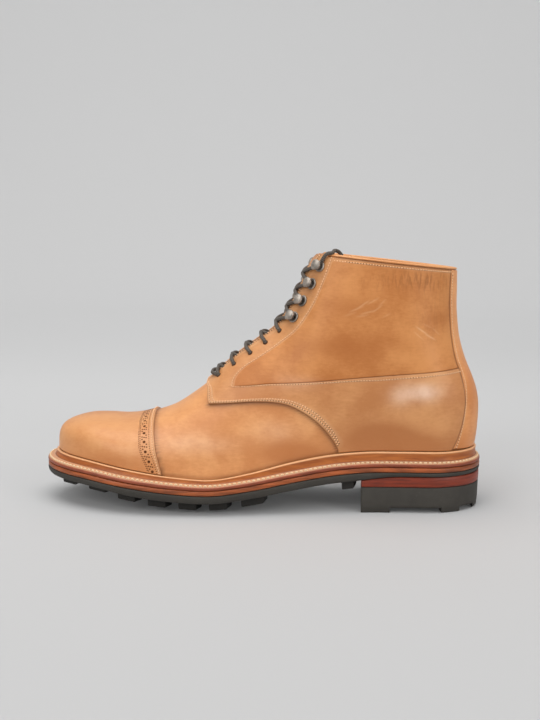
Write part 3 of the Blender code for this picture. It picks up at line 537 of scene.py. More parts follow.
def frame_at(v, phi, lift):
    """A place on the surface with its directions: backwards along the row, across it, and outwards."""
    place = lifted(v, phi, lift)
    normal = last_normal(np.asarray(v), np.asarray(phi))
    back = last_point(v, phi * 0.995) - last_point(v, phi)
    back -= normal * np.dot(back, normal)
    back /= np.linalg.norm(back)
    return place, np.stack([back, np.cross(normal, back), normal])


def resampled(path, count):
    """Points of a polyline at even steps of its length."""
    path = np.asarray(path, float)
    length = travelled(path)
    return sampled(path, length, np.linspace(0.0, length[-1], count))


def smoothed(path, count):
    """A smooth curve through points, each coordinate a cubic of the length along them, at even steps."""
    path = np.asarray(path, float)
    length = travelled(path)
    t = np.linspace(0.0, length[-1], 8 * count)
    return resampled(np.stack([curve_through(length, column)(t) for column in path.T], axis=1), count)


def placed(seam):
    """Row shares and angles along a side-view line."""
    seam = np.asarray(seam, float)
    return np.stack(locate(seam[:, 0], seam[:, 1]), axis=1)


def quads_of(index):
    """Quads between the neighbours in a grid of point numbers."""
    return np.stack([index[:-1, :-1], index[:-1, 1:], index[1:, 1:], index[1:, :-1]], axis=-1).reshape(-1, 4)


def grid_quads(rows, columns, closed=False):
    """Quads of a grid of points, joined round its columns if closed."""
    index = np.arange(rows * columns).reshape(rows, columns)
    return quads_of(np.concatenate([index, index[:, :1]], axis=1) if closed else index)


def strip_quads(near, far):
    """Quads between two lines of point numbers."""
    return np.stack([near[:-1], near[1:], far[1:], far[:-1]], axis=-1)


def quad_normals(points, quads):
    """Normals of quads, as long as twice their areas."""
    a, b, c, d = (points[quads[:, k]] for k in range(4))
    return np.cross(c - a, d - b)


def joined(parts):
    """Several (points, quads) as one."""
    starts = np.cumsum([0] + [len(points) for points, _ in parts[:-1]])
    points = np.concatenate([points for points, _ in parts])
    return points, np.concatenate([quads + start for (_, quads), start in zip(parts, starts)])


def outward(points, quads):
    """Quads turned so that the volume they enclose is positive."""
    a, b, c, d = (points[quads[:, k]] for k in range(4))
    volume = np.einsum("ij,ij->i", a, np.cross(b, c) + np.cross(c, d)).sum()
    return quads if volume > 0 else quads[:, ::-1]


def facing(points, quads, normals):
    """Quads turned to the side that the points' normals show."""
    turned = np.einsum("ij,ij->i", quad_normals(points, quads), normals[quads[:, 0]]).sum()
    return quads if turned > 0 else quads[:, ::-1]


def add_piece(name, points, quads, material, slot, nodes=(), **values):
    """A mesh object from points in millimetres, with one number for each point under each name given."""
    mesh = bpy.data.meshes.new(name)
    mesh.vertices.add(len(points))
    mesh.vertices.foreach_set("co", (np.asarray(points) * MM).astype(np.float32).ravel())
    mesh.loops.add(quads.size)
    mesh.loops.foreach_set("vertex_index", quads.astype(np.int32).ravel())
    mesh.polygons.add(len(quads))
    mesh.polygons.foreach_set("loop_start", np.arange(0, quads.size, 4, dtype=np.int32))
    mesh.update(calc_edges=True)
    mesh.validate()
    mesh.polygons.foreach_set("use_smooth", np.ones(len(mesh.polygons), bool))
    for key, value in values.items():
        layer = mesh.attributes.new(key, "FLOAT", "POINT")
        layer.data.foreach_set("value", np.broadcast_to(value, len(points)).astype(np.float32).ravel())
    mesh.materials.append(material)
    piece = bpy.data.objects.new(name, mesh)
    bpy.context.scene.collection.objects.link(piece)
    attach(piece, "root")
    if nodes:
        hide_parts(*nodes)
    return piece


class Value:
    """A shader socket that takes part in arithmetic: each operation adds a Math node."""

    def __init__(self, finish, socket):
        self.finish = finish
        self.socket = socket

    def math(self, operation, *values):
        return self.finish.node("ShaderNodeMath", {"operation": operation}, dict(enumerate(values)))

    def __add__(self, other):
        return self.math("ADD", self, other)

    def __mul__(self, other):
        return self.math("MULTIPLY", self, other)

    def __sub__(self, other):
        return self.math("SUBTRACT", self, other)

    def __rsub__(self, other):
        return self.math("SUBTRACT", other, self)

    def __truediv__(self, other):
        return self.math("DIVIDE", self, other)

    def __pow__(self, other):
        return self.math("POWER", self, other)

    __radd__ = __add__
    __rmul__ = __mul__

    def between(self, low, high):
        """0 below low, 1 above high, smooth between."""
        inputs = {"Value": self, "From Min": low, "From Max": high}
        return self.finish.node("ShaderNodeMapRange", {"interpolation_type": "SMOOTHSTEP"}, inputs)

    def fade(self, reach):
        """Falls from 1 at zero to nothing over a reach."""
        return self.math("EXPONENT", self * (-1.0 / reach))

    def wave(self):
        return self.math("SINE", self)


class Finish:
    """One material and the nodes of its tree."""

    def __init__(self, name):
        self.material = bpy.data.materials.new(name)
        self.material.use_nodes = True
        self.tree = self.material.node_tree
        self.shader = self.tree.nodes["Principled BSDF"]

    def node(self, kind, settings, inputs, output=0):
        """Any node: its settings first, then the values or links of its sockets; gives one output."""
        made = self.tree.nodes.new(kind)
        for key, value in settings.items():
            setattr(made, key, value)
        for key, value in inputs.items():
            self.put(made.inputs[key], value)
        return Value(self, made.outputs[output])

    def put(self, socket, value):
        if isinstance(value, Value):
            self.tree.links.new(value.socket, socket)
        else:
            socket.default_value = value

    def place(self):
        return self.node("ShaderNodeTexCoord", {}, {}, "Object")

    def axis(self, name):
        return self.node("ShaderNodeSeparateXYZ", {}, {0: self.place()}, name)

    def stretched(self, scale):
        return self.node("ShaderNodeMapping", {}, {"Vector": self.place(), "Scale": scale})

    def noise(self, scale, detail=2.0, roughness=0.5, vector=None):
        inputs = {"Vector": vector or self.place(), "Scale": scale, "Detail": detail, "Roughness": roughness}
        return self.node("ShaderNodeTexNoise", {}, inputs)

    def cells(self, scale):
        inputs = {"Vector": self.place(), "Scale": scale}
        return self.node("ShaderNodeTexVoronoi", {"feature": "F1"}, inputs)

    def attribute(self, name):
        return self.node("ShaderNodeAttribute", {"attribute_name": name}, {}, "Fac")

    def mix(self, share, first, second):
        inputs = {"Factor": share, 6: first, 7: second}
        return self.node("ShaderNodeMix", {"data_type": "RGBA"}, inputs, 2)

    def bump(self, height, strength, distance):
        inputs = {"Height": height, "Strength": strength, "Distance": distance}
        return self.node("ShaderNodeBump", {}, inputs, "Normal")

    def shade(self, **inputs):
        """Sets the surface's own sockets, named with _ for a space."""
        for key, value in inputs.items():
            self.put(self.shader.inputs[key.replace("_", " ")], value)
        return self.material


def rgba(colour, light=1.0):
    """A colour, lighter or darker, with full alpha."""
    return (*(light * k for k in colour), 1.0)


def grey(tone):
    return (tone, tone, tone, 1.0)


def colour_property(name, description, default):
    return bpy.props.FloatVectorProperty(name=name, description=description, subtype="COLOR", default=default)


def size_property(name, description, default, low, high):
    return bpy.props.FloatProperty(name=name, description=description, default=default, min=low, max=high)


class BootColours(bpy.types.PropertyGroup):
    """Colours that a user would change."""

    tan: colour_property("Tan", "Lit tone of the upper's leather", (0.68, 0.315, 0.118))
    tan_deep: colour_property("Deep tan", "Darker clouds of the upper's leather", (0.51, 0.195, 0.058))
    lining: colour_property("Lining", "Undyed leather inside", (0.62, 0.40, 0.22))
    welt: colour_property("Welt", "Waxed leather of the welt", (0.33, 0.072, 0.028))
    midsole: colour_property("Midsole", "Stained edge of the midsole", (0.30, 0.070, 0.015))
    lift: colour_property("Heel lift", "Red-brown leather of the heel", (0.21, 0.025, 0.006))
    rubber: colour_property("Rubber", "Dark rubber of sole and heel", (0.047, 0.042, 0.035))
    metal: colour_property("Hooks", "Dull bronze of the hooks", (0.42, 0.37, 0.32))
    lace: colour_property("Lace", "Waxed cotton of the lace", (0.085, 0.07, 0.057))
    thread: colour_property("Thread", "Thread of the upper's seams", (0.95, 0.58, 0.32))
    cream: colour_property("Welt thread", "Heavy thread of the welt", (0.85, 0.60, 0.36))


class BootSizes(bpy.types.PropertyGroup):
    """Sizes that a user would change, in millimetres."""

    stitch: size_property("Stitch", "Length of a stitch and its gap on the upper", 1.9, 1.0, 4.0)
    welt_stitch: size_property("Welt stitch", "Length of a stitch and its gap on the welt", 3.3, 2.0, 6.0)
    lace: size_property("Lace", "Radius of the lace", 1.3, 0.8, 2.5)
    edge_round: size_property("Cut edge", "Radius of a panel's cut edge", 0.7, 0.2, 1.5)
    punch: size_property("Punching", "Radius of the toe cap's larger holes", 1.0, 0.4, 1.5)


def colours():
    return bpy.context.scene.boot_colours


def sizes():
    return bpy.context.scene.boot_sizes


# Creases and scuffs of the outer leg and quarter: one row each, as the middle in the side view, half length,
# slope of its run in degrees, half width, depth of the trough, and how much paler the leather is there
CREASES = (
    (62.0, 141.0, 6.0, 24.0, 0.55, 0.10, 0.5),
    (67.0, 144.5, 5.0, 34.0, 0.50, 0.10, 0.6),
    (73.0, 146.5, 5.5, 30.0, 0.50, 0.10, 0.5),
    (70.0, 139.0, 6.0, 16.0, 0.50, 0.10, 0.6),
    (76.0, 141.5, 5.0, 38.0, 0.45, 0.10, 0.5),
    (79.0, 145.5, 4.0, 46.0, 0.45, 0.08, 0.4),
    (66.0, 136.5, 5.0, 10.0, 0.55, 0.10, 0.4),
    (58.0, 137.5, 5.0, 20.0, 0.50, 0.08, 0.3),
    (82.0, 137.0, 4.0, 30.0, 0.45, 0.08, 0.3),
    (106.0, 127.0, 6.0, -34.0, 0.55, 0.12, 0.8),
    (112.0, 122.5, 5.0, -30.0, 0.55, 0.12, 0.8),
    (104.0, 123.5, 5.0, -40.0, 0.45, 0.08, 0.4),
    (116.0, 126.0, 4.0, -44.0, 0.45, 0.08, 0.4),
    (110.0, 130.0, 4.0, -26.0, 0.45, 0.08, 0.3),
    (88.0, 164.0, 7.0, 82.0, 1.1, 0.14, 0.0),
    (95.0, 163.0, 8.0, 86.0, 1.1, 0.16, 0.0),
    (102.0, 162.0, 8.0, 84.0, 1.1, 0.16, 0.0),
    (109.0, 161.5, 7.0, 88.0, 1.1, 0.16, 0.0),
    (116.0, 160.0, 8.0, 85.0, 1.1, 0.14, 0.0),
)


def creases_at(place):
    """Depth and paleness at points of the outer side: each crease is a soft trough along a short line."""
    depth = np.zeros(place.shape[:-1])
    pale = np.zeros(place.shape[:-1])
    on_outer = place[..., 1] < LAST_AXIS_Y
    for x, z, half_length, slope, half_width, deep, light in CREASES:
        c, s = math.cos(math.radians(slope)), math.sin(math.radians(slope))
        dx, dz = place[..., 0] - x, place[..., 2] - z
        run, off = dx * c + dz * s, dz * c - dx * s
        shape = np.exp(-np.square(off / half_width)) * np.clip(1 - np.square(run / half_length), 0.0, None)
        depth += deep * shape * on_outer
        pale += light * shape * on_outer
    return depth, pale


def leather(name, tan, deep, shine):
    """Smooth natural leather: clouds of tone, fine grain, burnished edges, paler scuffs, lining inside; with
    painted shade patches, painted shadow along seams, darkened wrinkle furrows and painted highlights.
    """
    f = Finish(name)
    cloud = f.noise(16.0, 3.0, 0.55)
    blot = f.noise(70.0, 4.0, 0.6)
    hair = f.noise(260.0, 3.0, 0.6, f.stretched((1.0, 1.0, 2.6)))
    tone = (cloud * 0.55 + blot * 0.30 + hair * 0.15).between(0.36, 0.62)
    colour = f.mix(tone, rgba(deep), rgba(tan))
    # Darker patches: the leather's darker clouds on the leg, and painted shade low on the heel, the vamp and
    # the cap beside the lip
    shade = f.attribute("shade") * (0.45 + blot * 0.75)
    darker = [tone * share for tone, share in zip(deep, (0.84, 0.74, 0.62))]
    colour = f.mix(shade.between(0.0, 1.1) * 0.85, colour, rgba(darker))
    # Darker along seam lines: painted shadow beside the vamp's overlapping seams and lip and under the collar
    # binding, and darker lines along stitch rows and beside the back strip
    colour = f.mix(f.attribute("seam") * 0.5, colour, rgba(deep, 0.5))
    # Fine upright wrinkles: besides their bump, their furrows are darkened as painted shade
    wrinkle = f.noise(620.0, 2.0, 0.6, f.stretched((1.0, 1.0, 0.2)))
    furrow = (1.0 - wrinkle.between(0.36, 0.52)) * f.attribute("rub")
    colour = f.mix(furrow * 0.5, colour, rgba(deep, 0.55))
    # Darker within a little of an edge: the panels' burnished cut edges, and on the vamp painted shadow
    # beside the overlapping seams and the lip
    burnish_and_seam_shadow = f.attribute("edge").fade(0.9) * 0.62
    colour = f.mix(burnish_and_seam_shadow, colour, rgba(deep, 0.35))
    pale = f.attribute("pale") * (0.5 + blot * 0.7)
    colour = f.mix(pale * 0.55, colour, rgba((0.86, 0.55, 0.30)))
    # Painted highlight: a paler, whiter tone mixed in on the heel's quarter, the vamp and the low leg
    colour = f.mix(f.attribute("polish") * (0.1 + blot * 0.8), colour, rgba((0.96, 0.70, 0.54)))
    colour = f.mix(f.attribute("inside"), colour, rgba(colours().lining))
    pores = f.cells(1500.0)
    grain = f.noise(900.0, 3.0, 0.6)
    height = pores * 0.35 + grain * 0.5 + hair * 0.5 - furrow * 2.0
    rough = 0.40 + blot * 0.14 + pale * 0.2 + f.attribute("inside") * 0.25
    return f.shade(
        Base_Color=colour, Roughness=rough, Normal=f.bump(height, 0.22, 0.0003), Specular_IOR_Level=shine,
        Coat_Weight=0.06, Coat_Roughness=0.25,
    )


def leathers(name, shine=0.45, light=1.0, deep=1.0, warm=0.0):
    """The boot's leather, a little lighter, deeper or warmer for one panel."""
    c = colours()
    hue = np.array([1.0 + 0.2 * warm, 1.0 - 0.3 * warm, 1.0 - warm])
    return leather(name, list(light * hue * c.tan), list(deep * hue * c.tan_deep), shine)


# What the leather reads at a place with no edge, crease, lining, wrinkle, shade, seam or painted highlight
PLAIN = {"edge": 30.0, "pale": 0.0, "inside": 0.0, "rub": 0.0, "shade": 0.0, "seam": 0.0, "polish": 0.0}


def clustered(count, length):
    """Shares along a panel, close together at both edges where it rounds over."""
    near = np.array([0.0, 0.05, 0.22, 0.55, 1.1]) / length
    return np.concatenate([near, np.linspace(near[-1], 1 - near[-1], count)[1:-1], 1 - near[::-1]])


def distances(place):
    """Distance of each point of a grid from its four edges, along its lines."""
    found = []
    for axis in (0, 1):
        step = np.linalg.norm(np.diff(place, axis=axis), axis=-1)
        run = np.cumsum(step, axis=axis)
        zero = np.zeros_like(np.take(run, [0], axis))
        run = np.concatenate([zero, run], axis)
        found += [run, np.take(run, [-1], axis) - run]
    return found


# Stitch rows: how deep they press in, and their distances from the edges of cap and quarter
STITCH_GROOVE = 0.16
CAP_ROW = 1.3
QUARTER_ROWS = (2.0, 4.2)
FACING_ROW = 1.6


def add_panel(name, v, phi, thick, material, nodes, sinks=(-0.3, -0.3, -0.3, -0.3), rows=(), flush=None):
    """A leather panel: a grid of the last, lifted by its thickness, whose cut edges round over and tuck in.

    The lift rises as a quarter circle over the edge's radius. rows are stitch rows pressed in as shallow
    grooves, each with its distance from an edge, the edge's number, how dark and how pale it is, and how
    strongly it shows along its run. sinks give how deep each edge's wall reaches. flush holds, for an edge's
    number, where the panel runs on into its neighbour.
    """
    place = last_point(v, phi)
    normal = last_normal(v, phi)
    sides = distances(place)
    true_sides = list(sides)
    for side, where in (flush or {}).items():
        sides[side] = np.where(where, 1e3, sides[side])
    edge = np.minimum.reduce(sides)
    turn = np.clip(edge / sizes().edge_round, 0.0, 1.0)
    if callable(thick):
        thick = thick(true_sides)
    lift = GAP + thick * (0.45 + 0.55 * np.sqrt(1 - np.square(1 - turn)))
    depth, pale = creases_at(place)
    seam = np.zeros_like(edge)
    for distance, side, dark, light, strength in rows:
        away = np.square(true_sides[side] - distance)
        lift = lift - strength * STITCH_GROOVE * np.exp(-away / 0.3)
        # The darkness put along rows: on the leg's top edge it is painted shadow under the collar binding;
        # elsewhere a darker line along stitch grooves and beside the back strip
        seam = np.maximum(seam, strength * dark * np.exp(-away / 0.4))
        pale = np.maximum(pale, strength * light * np.exp(-away / 2.4))
    lift = lift - depth
    for side, sink in zip(((0, slice(None)), (-1, slice(None)), (slice(None), 0), (slice(None), -1)), sinks):
        lift[side] = np.where(edge[side] > 0.001, lift[side], sink)
    points = (place + lift[..., None] * normal).reshape(-1, 3)
    quads = facing(points, grid_quads(*v.shape), normal.reshape(-1, 3))
    return add_piece(
        name, points, quads, material, "tan_leather", nodes, edge=2.0 * edge.ravel(), pale=pale.ravel(),
        inside=0.0, rub=patches(place, RUBS).ravel(), shade=patches(place, SHADES).ravel(), seam=seam.ravel(),
        polish=patches(place, PAINTED_HIGHLIGHTS).ravel(),
    )


# Soft patches on the leather, as their middle in the side view, half sizes and strength: fine upright
# wrinkles, whose furrows are darkened as painted shade; painted highlights; and darker patches, partly the
# leather's darker clouds on the leg and partly painted shade low on the heel, the vamp and the cap beside the
# lip
RUBS = ((104.0, 161.0, 22.0, 6.0, 1.0), (74.0, 158.0, 16.0, 6.0, 0.2), (112.0, 138.0, 12.0, 20.0, 0.3))
PAINTED_HIGHLIGHTS = (
    (108.0, 85.0, 12.0, 6.0, 1.2), (93.0, 83.0, 8.0, 7.0, 0.6), (-50.0, 48.0, 30.0, 7.0, 0.3),
    (9.0, 57.0, 16.0, 8.0, 0.2), (23.0, 90.0, 14.0, 5.0, 0.22),
)
SHADES = (
    (58.0, 141.0, 20.0, 10.0, 0.8), (52.0, 115.0, 22.0, 9.0, 0.9), (117.0, 135.0, 14.0, 7.0, 0.7),
    (104.0, 158.0, 24.0, 8.0, 0.5), (88.0, 118.0, 16.0, 6.0, 0.4), (100.0, 46.0, 52.0, 10.0, 0.9),
    (76.0, 56.0, 28.0, 12.0, 0.6), (12.0, 44.0, 20.0, 9.0, 0.8), (-40.0, 45.0, 16.0, 5.0, 0.3),
    (-106.0, 34.0, 34.0, 7.0, 0.8), (23.0, 40.0, 24.0, 9.0, 0.9), (135.0, 62.0, 9.0, 26.0, 0.3),
    (85.0, 54.0, 28.0, 11.0, 0.75), (97.0, 46.0, 30.0, 8.0, 0.6), (-61.0, 69.0, 25.0, 6.0, 0.35),
    (23.0, 112.0, 9.0, 9.0, 0.4),
)


def patches(place, table):
    """Strength of soft patches at points of the upper: bells about their middles, half on the inner side."""
    found = np.zeros(place.shape[:-1])
    for x, z, half_x, half_z, strength in table:
        reach = np.square((place[..., 0] - x) / half_x) + np.square((place[..., 2] - z) / half_z)
        found += strength * np.exp(-reach)
    return np.where(place[..., 1] < LAST_AXIS_Y, found, 0.5 * found)


SIDES = (("outer", True), ("inner", False))


def signed(phi, outer):
    """The angle on the side asked for."""
    return -phi if outer else phi


def strip_edge():
    """Row shares and angles up the back strip's seam."""
    return placed(along(STRIP_SEAM, 200))


def lip_row(phi):
    """Row share of the storm welt's lip at each angle."""
    return row_above_feather(phi, lip_rise(phi))


def lip_rise(phi):
    """Height of the storm welt's lip at each angle."""
    return lip_height(row_at(0.0, phi)[0])


def band_row(phi):
    """Row share just under the collar's edge at each angle, by halving."""

    def under(v):
        x, z = row_at(v, phi)
        return z < band_line(x)

    return halved(np.full_like(phi, 0.5), np.ones_like(phi), under, 30)


def span(first, last, count):
    """Even steps from one value to another, as a column."""
    return first + (last - first) * np.linspace(0.0, 1.0, count)[:, None]


# The quarter's front corner above its seam, the x at which it meets the ridge, and where its second edge is
# split to stay beside the first: along the leg's seam, up the facing's seam, with a lap; points of each part
QUARTER_CORNER = ((-38.4, 75.0), (-38.7, 79.0), (-38.8, 83.0))
QUARTER_RIDGE_X = -38.9
LEG_SPLIT_X = (78.0, -8.0)
FACING_SPLIT_Z = 92.0
SPLIT_LAP = 0.5
QUARTER_COUNTS = (120, 130, 34, 150)


def quarter_edges(outer):
    """The quarter's two long edges as row shares and angles, from the back strip to the collar.

    The first runs along the lip, up the curved seam, up the front and along the throat; the second along the
    leg seam and up the facing's seam.
    """
    counts = QUARTER_COUNTS
    strip = strip_edge()
    seam = along(QUARTER_SEAM, 400)
    seam = seam[seam[:, 1] > lip_line(seam[:, 0])]
    foot_phi = placed(seam[-1:])[0, 1]
    start_phi = np.interp(lip_row(np.array([0.35]))[0], strip[:, 0], strip[:, 1])
    lip_phi = span(start_phi, foot_phi, counts[0])[:, 0]
    lip = np.stack([lip_row(lip_phi), lip_phi], axis=1)
    curve = placed(resampled(seam[::-1], counts[1] + 1))[1:]
    front = placed(smoothed(np.array([seam[0], *QUARTER_CORNER]), 60))
    ridge_v = np.interp(QUARTER_RIDGE_X, FRONT_X, FRONT_SHARE)
    front = np.concatenate([front, [[ridge_v, math.pi]]])
    front = resampled(front, counts[2] + 1)[1:]
    throat_v = np.linspace(ridge_v, 1.0, 4 * counts[3])
    throat_phi = np.where(throat_v > ROWS[THROAT_ROW], throat_angle(throat_v, outer), math.pi)
    top_v = band_row(throat_phi)
    keep = throat_v < top_v
    throat = resampled(np.stack([throat_v, throat_phi], axis=1)[keep], counts[3] + 1)[1:]
    first = np.concatenate([lip, curve, front, throat])
    leg = along(LEG_SEAM, 600)[::-1]
    leg_places = placed(leg)
    leg_keep = leg_places[:, 1] > np.interp(leg_places[:, 0], strip[:, 0], strip[:, 1])
    leg, leg_places = leg[leg_keep], leg_places[leg_keep]
    rise = along(FACING_SEAM, 600)
    rise = rise[rise[:, 1] < band_line(rise[:, 0])]
    leg_x, rear_x, fore_x = leg[:, 0], *LEG_SPLIT_X
    back = resampled(leg_places[leg_x >= rear_x], counts[0])
    middle = resampled(leg_places[(leg_x < rear_x + SPLIT_LAP) & (leg_x > fore_x)], counts[1] + 1)[1:]
    corner = np.concatenate([leg[leg_x <= fore_x + SPLIT_LAP], rise[rise[:, 1] < FACING_SPLIT_Z]])
    corner = placed(resampled(corner, counts[2] + 1))[1:]
    facing_line = placed(resampled(rise[rise[:, 1] >= FACING_SPLIT_Z - SPLIT_LAP], counts[3] + 1))[1:]
    return first, np.concatenate([back, middle, corner, facing_line])


def leg_grid(rows, columns):
    """The leg panel's row shares and angles: a patch blended from its four edges."""
    strip = strip_edge()
    leg = placed(along(LEG_SEAM, 600))
    leg = leg[leg[:, 1] > np.interp(leg[:, 0], strip[:, 0], strip[:, 1])]
    rise = along(FACING_SEAM, 600)
    rise = placed(rise[rise[:, 1] < band_line(rise[:, 0])])
    top_phi = span(rise[-1, 1], np.interp(0.97, strip[:, 0], strip[:, 1]), 300)[:, 0]
    top = np.stack([band_row(top_phi), top_phi], axis=1)
    back = strip[(strip[:, 0] > leg[-1, 0]) & (strip[:, 0] < top[-1, 0])]
    u = clustered(columns, 120.0)
    w = clustered(rows, 75.0)
    low, high = at_shares(leg, u), at_shares(top, u)
    front, rear = at_shares(rise, w), at_shares(np.concatenate([leg[-1:], back, top[-1:]]), w)
    u, w = u[:, None, None], w[None, :, None]
    patch = low[:, None] * (1 - w) + high[:, None] * w + front[None] * (1 - u) + rear[None] * u
    corners = (low[0] * (1 - w) + high[0] * w) * (1 - u) + (low[-1] * (1 - w) + high[-1] * w) * u
    return patch - corners


def at_shares(path, shares):
    """Points of a path at shares of its length on the last."""
    length = travelled(last_point(path[:, 0], path[:, 1]))
    return sampled(path, length, shares * length[-1])


def cap_edges(count):
    """The toe cap's two edges from the inner side round to the outer: the lip's line and the seam."""
    seam = along(CAP_SEAM, 600)
    seam = seam[seam[:, 1] > lip_line(seam[:, 0])]
    place = placed(seam)
    on_side = place[place[:, 1] < math.pi - 0.03]
    top = [[np.interp(seam[len(on_side), 0], FRONT_X, FRONT_SHARE), math.pi]]
    half = np.concatenate([on_side, top])
    whole = np.concatenate([half, (half * (1, -1) + (0, 2 * math.pi))[-2::-1]])
    seam_line = at_shares(whole, np.linspace(0.0, 1.0, count))
    phi = span(half[0, 1], 2 * math.pi - half[0, 1], 4 * count)[:, 0]
    angle = np.where(phi > math.pi, 2 * math.pi - phi, phi)
    lip_line_points = at_shares(np.stack([lip_row(angle), phi], axis=1), np.linspace(0.0, 1.0, count))
    return lip_line_points, seam_line


def capsules(centres, runs, ups, length, radius, sink=0.35):
    """Stitches: short arched bars, one for each centre, all rings at once; the ends dip into the leather."""
    along_bar = np.array([-0.5, -0.42, -0.18, 0.18, 0.42, 0.5]) * length
    swell = np.array([0.35, 0.8, 1.0, 1.0, 0.8, 0.35]) * radius
    arch = np.array([-1.0, -0.3, 0.25, 0.25, -0.3, -1.0]) * sink
    angle = circle(6)
    across = np.cross(runs, ups)
    centres, runs, ups, across = (a[:, None, None] for a in (centres, runs, ups, across))
    ring = np.cos(angle)[None, None, :, None] * across + np.sin(angle)[None, None, :, None] * ups
    points = centres + along_bar[None, :, None, None] * runs + arch[None, :, None, None] * ups
    points = points + swell[None, :, None, None] * ring
    count, rings, sides = points.shape[:3]
    quads = grid_quads(rings, sides, closed=True)
    caps = np.array([[0, 1, 2, 3], [0, 3, 4, 5]])
    quads = np.concatenate([quads, caps, caps[:, ::-1] + (rings - 1) * sides])
    quads = (quads[None] + (np.arange(count) * rings * sides)[:, None, None]).reshape(-1, 4)
    points = points.reshape(-1, 3)
    return points, outward(points, quads)


def stitch_row(path, lift, length, share=0.72, radius=0.36):
    """Stitches along a line of row shares and angles, at even steps."""
    path = np.asarray(path, float)
    place = lifted(path[:, 0], path[:, 1], lift)
    total = travelled(place)
    count = max(int(total[-1] / length), 2)
    t = (np.arange(count) + 0.5) * total[-1] / count
    run = unit(sampled(place, total, t + 0.5) - sampled(place, total, t - 0.5))
    up = last_normal(*sampled(path, total, t).T)
    up = unit(up - run * np.einsum("ij,ij->i", up, run)[:, None])
    return capsules(sampled(place, total, t), run, up, length * share, radius)


# A direction that no part of the lace runs along, and how far a tube's ends close in
TUBE_UP = (0.31, 0.12, 0.94)
TUBE_END = 0.02


def tube(route, radius, sides=12):
    """A closed round tube along a route, with the length along it and the turn round it at each point."""
    route = np.asarray(route, float)
    run = unit(np.gradient(route, axis=0))
    across = unit(np.cross(run, TUBE_UP))
    up = np.cross(run, across)
    angle = circle(sides)
    ring = across[:, None] * np.cos(angle)[:, None] + up[:, None] * np.sin(angle)[:, None]
    size = np.full(len(route), float(radius))
    size[[0, -1]] = TUBE_END * radius
    points = (route[:, None] + size[:, None, None] * ring).reshape(-1, 3)
    quads = outward(points, grid_quads(len(route), sides, closed=True))
    return points, quads, np.repeat(travelled(route), sides), np.tile(angle, len(route))


# How far the vamp lies under the last's surface, so that the panels stand clear of it
VAMP_SINK = 0.05


class BOOT_OT_upper(bpy.types.Operator):
    """The vamp and lining: the last's surface with its wall, open at the collar, the throat and underneath"""

    bl_idname = "boot.upper"
    bl_label = "Upper"

    def execute(self, context):
        rows, half = 110, 140
        v = np.sort(np.concatenate([np.linspace(0.0, 1.0, rows), [ROWS[THROAT_ROW] + 0.001]]))
        side = np.linspace(-1.0, 1.0, 2 * half + 1)
        opened = v > ROWS[THROAT_ROW]
        out, into = (np.where(opened, throat_angle(v, outer), math.pi) for _, outer in SIDES)
        phi = np.where(side < 0, out[:, None], into[:, None]) * side
        v = np.broadcast_to(v[:, None], phi.shape)
        place, normal = last_point(v, phi), last_normal(v, phi)
        depth, pale = creases_at(place)
        outside = place - VAMP_SINK * normal - depth[..., None] * normal
        inside = place - UPPER_WALL * normal
        shell = np.concatenate([outside, inside[::-1]])
        index = np.arange(shell.shape[0] * shell.shape[1]).reshape(shell.shape[:2])
        whole = ~np.concatenate([opened, opened[::-1]])
        index[whole, -1] = index[whole, 0]
        quads = quads_of(index)
        count = len(v)
        walls = []
        for column in (0, -1):
            near, far = index[:count, column], index[count:, column][::-1]
            wall = strip_quads(near, far)[opened[1:]]
            walls.append(wall if column else wall[:, ::-1])
        foot = strip_quads(index[0], index[-1])
        used, quads = np.unique(np.concatenate([quads, *walls, foot[:, ::-1]]), return_inverse=True)
        points = shell.reshape(-1, 3)[used]
        outer_normals = np.concatenate([normal, -normal[::-1]]).reshape(-1, 3)[used]
        quads = facing(points, quads.reshape(-1, 4), outer_normals)
        seam = seam_shadow(place)
        # On the vamp, edge and seam carry painted shadow: darker beside the cap's and quarters' seams, whose
        # edges stand over it, and along the lip's line
        outside_values = {
            "edge": 0.5 * seam, "pale": pale, "inside": 0 * pale, "rub": 0 * pale,
            "shade": patches(place, SHADES), "seam": 1.5 * np.exp(-np.square(seam / 1.3)),
            "polish": patches(place, PAINTED_HIGHLIGHTS),
        }
        lining_values = PLAIN | {"inside": 1.0}
        values = {
            key: np.concatenate([value, np.full(value.shape, lining_values[key])]).ravel()[used]
            for key, value in outside_values.items()
        }
        finish = leathers("vamp_leather", 0.5, 1.14, 1.16)
        add_piece("vamp_and_lining", points, quads, finish, "tan_leather", ("upper",), **values)
        return {"FINISHED"}


def seam_shadow(place):
    """Distance in the side view from the lines on the vamp: cap's seam, quarters' seam and lip."""
    x, z = place[..., 0], place[..., 2]
    found = [np.abs(z - lip_line(x)) + 0.6]
    for seam in (CAP_SEAM, QUARTER_SEAM):
        line = along(seam, 120)
        gap = np.full(x.shape, 1e6)
        for sx, sz in line:
            gap = np.minimum(gap, np.square(x - sx) + np.square(z - sz))
        found.append(np.sqrt(gap))
    return np.minimum.reduce(found)


class BOOT_OT_toe_cap(bpy.types.Operator):
    """The toe cap: a grid blended from the lip's line to the cap's seam, lifted by its thickness"""

    bl_idname = "boot.toe_cap"
    bl_label = "Toe cap"

    def execute(self, context):
        lip, seam = cap_edges(300)
        w = clustered(90, 60.0)[None, :, None]
        grid = lip[:, None] * (1 - w) + seam[:, None] * w
        finish = leathers("cap_leather", 0.5, 1.04, 1.15)
        add_panel("toe_cap_panel", grid[..., 0], grid[..., 1], CAP_THICK, finish, ("toe_cap",),
                  rows=((CAP_ROW, 3, 0.3, 0.5, 1.0),))
        return {"FINISHED"}


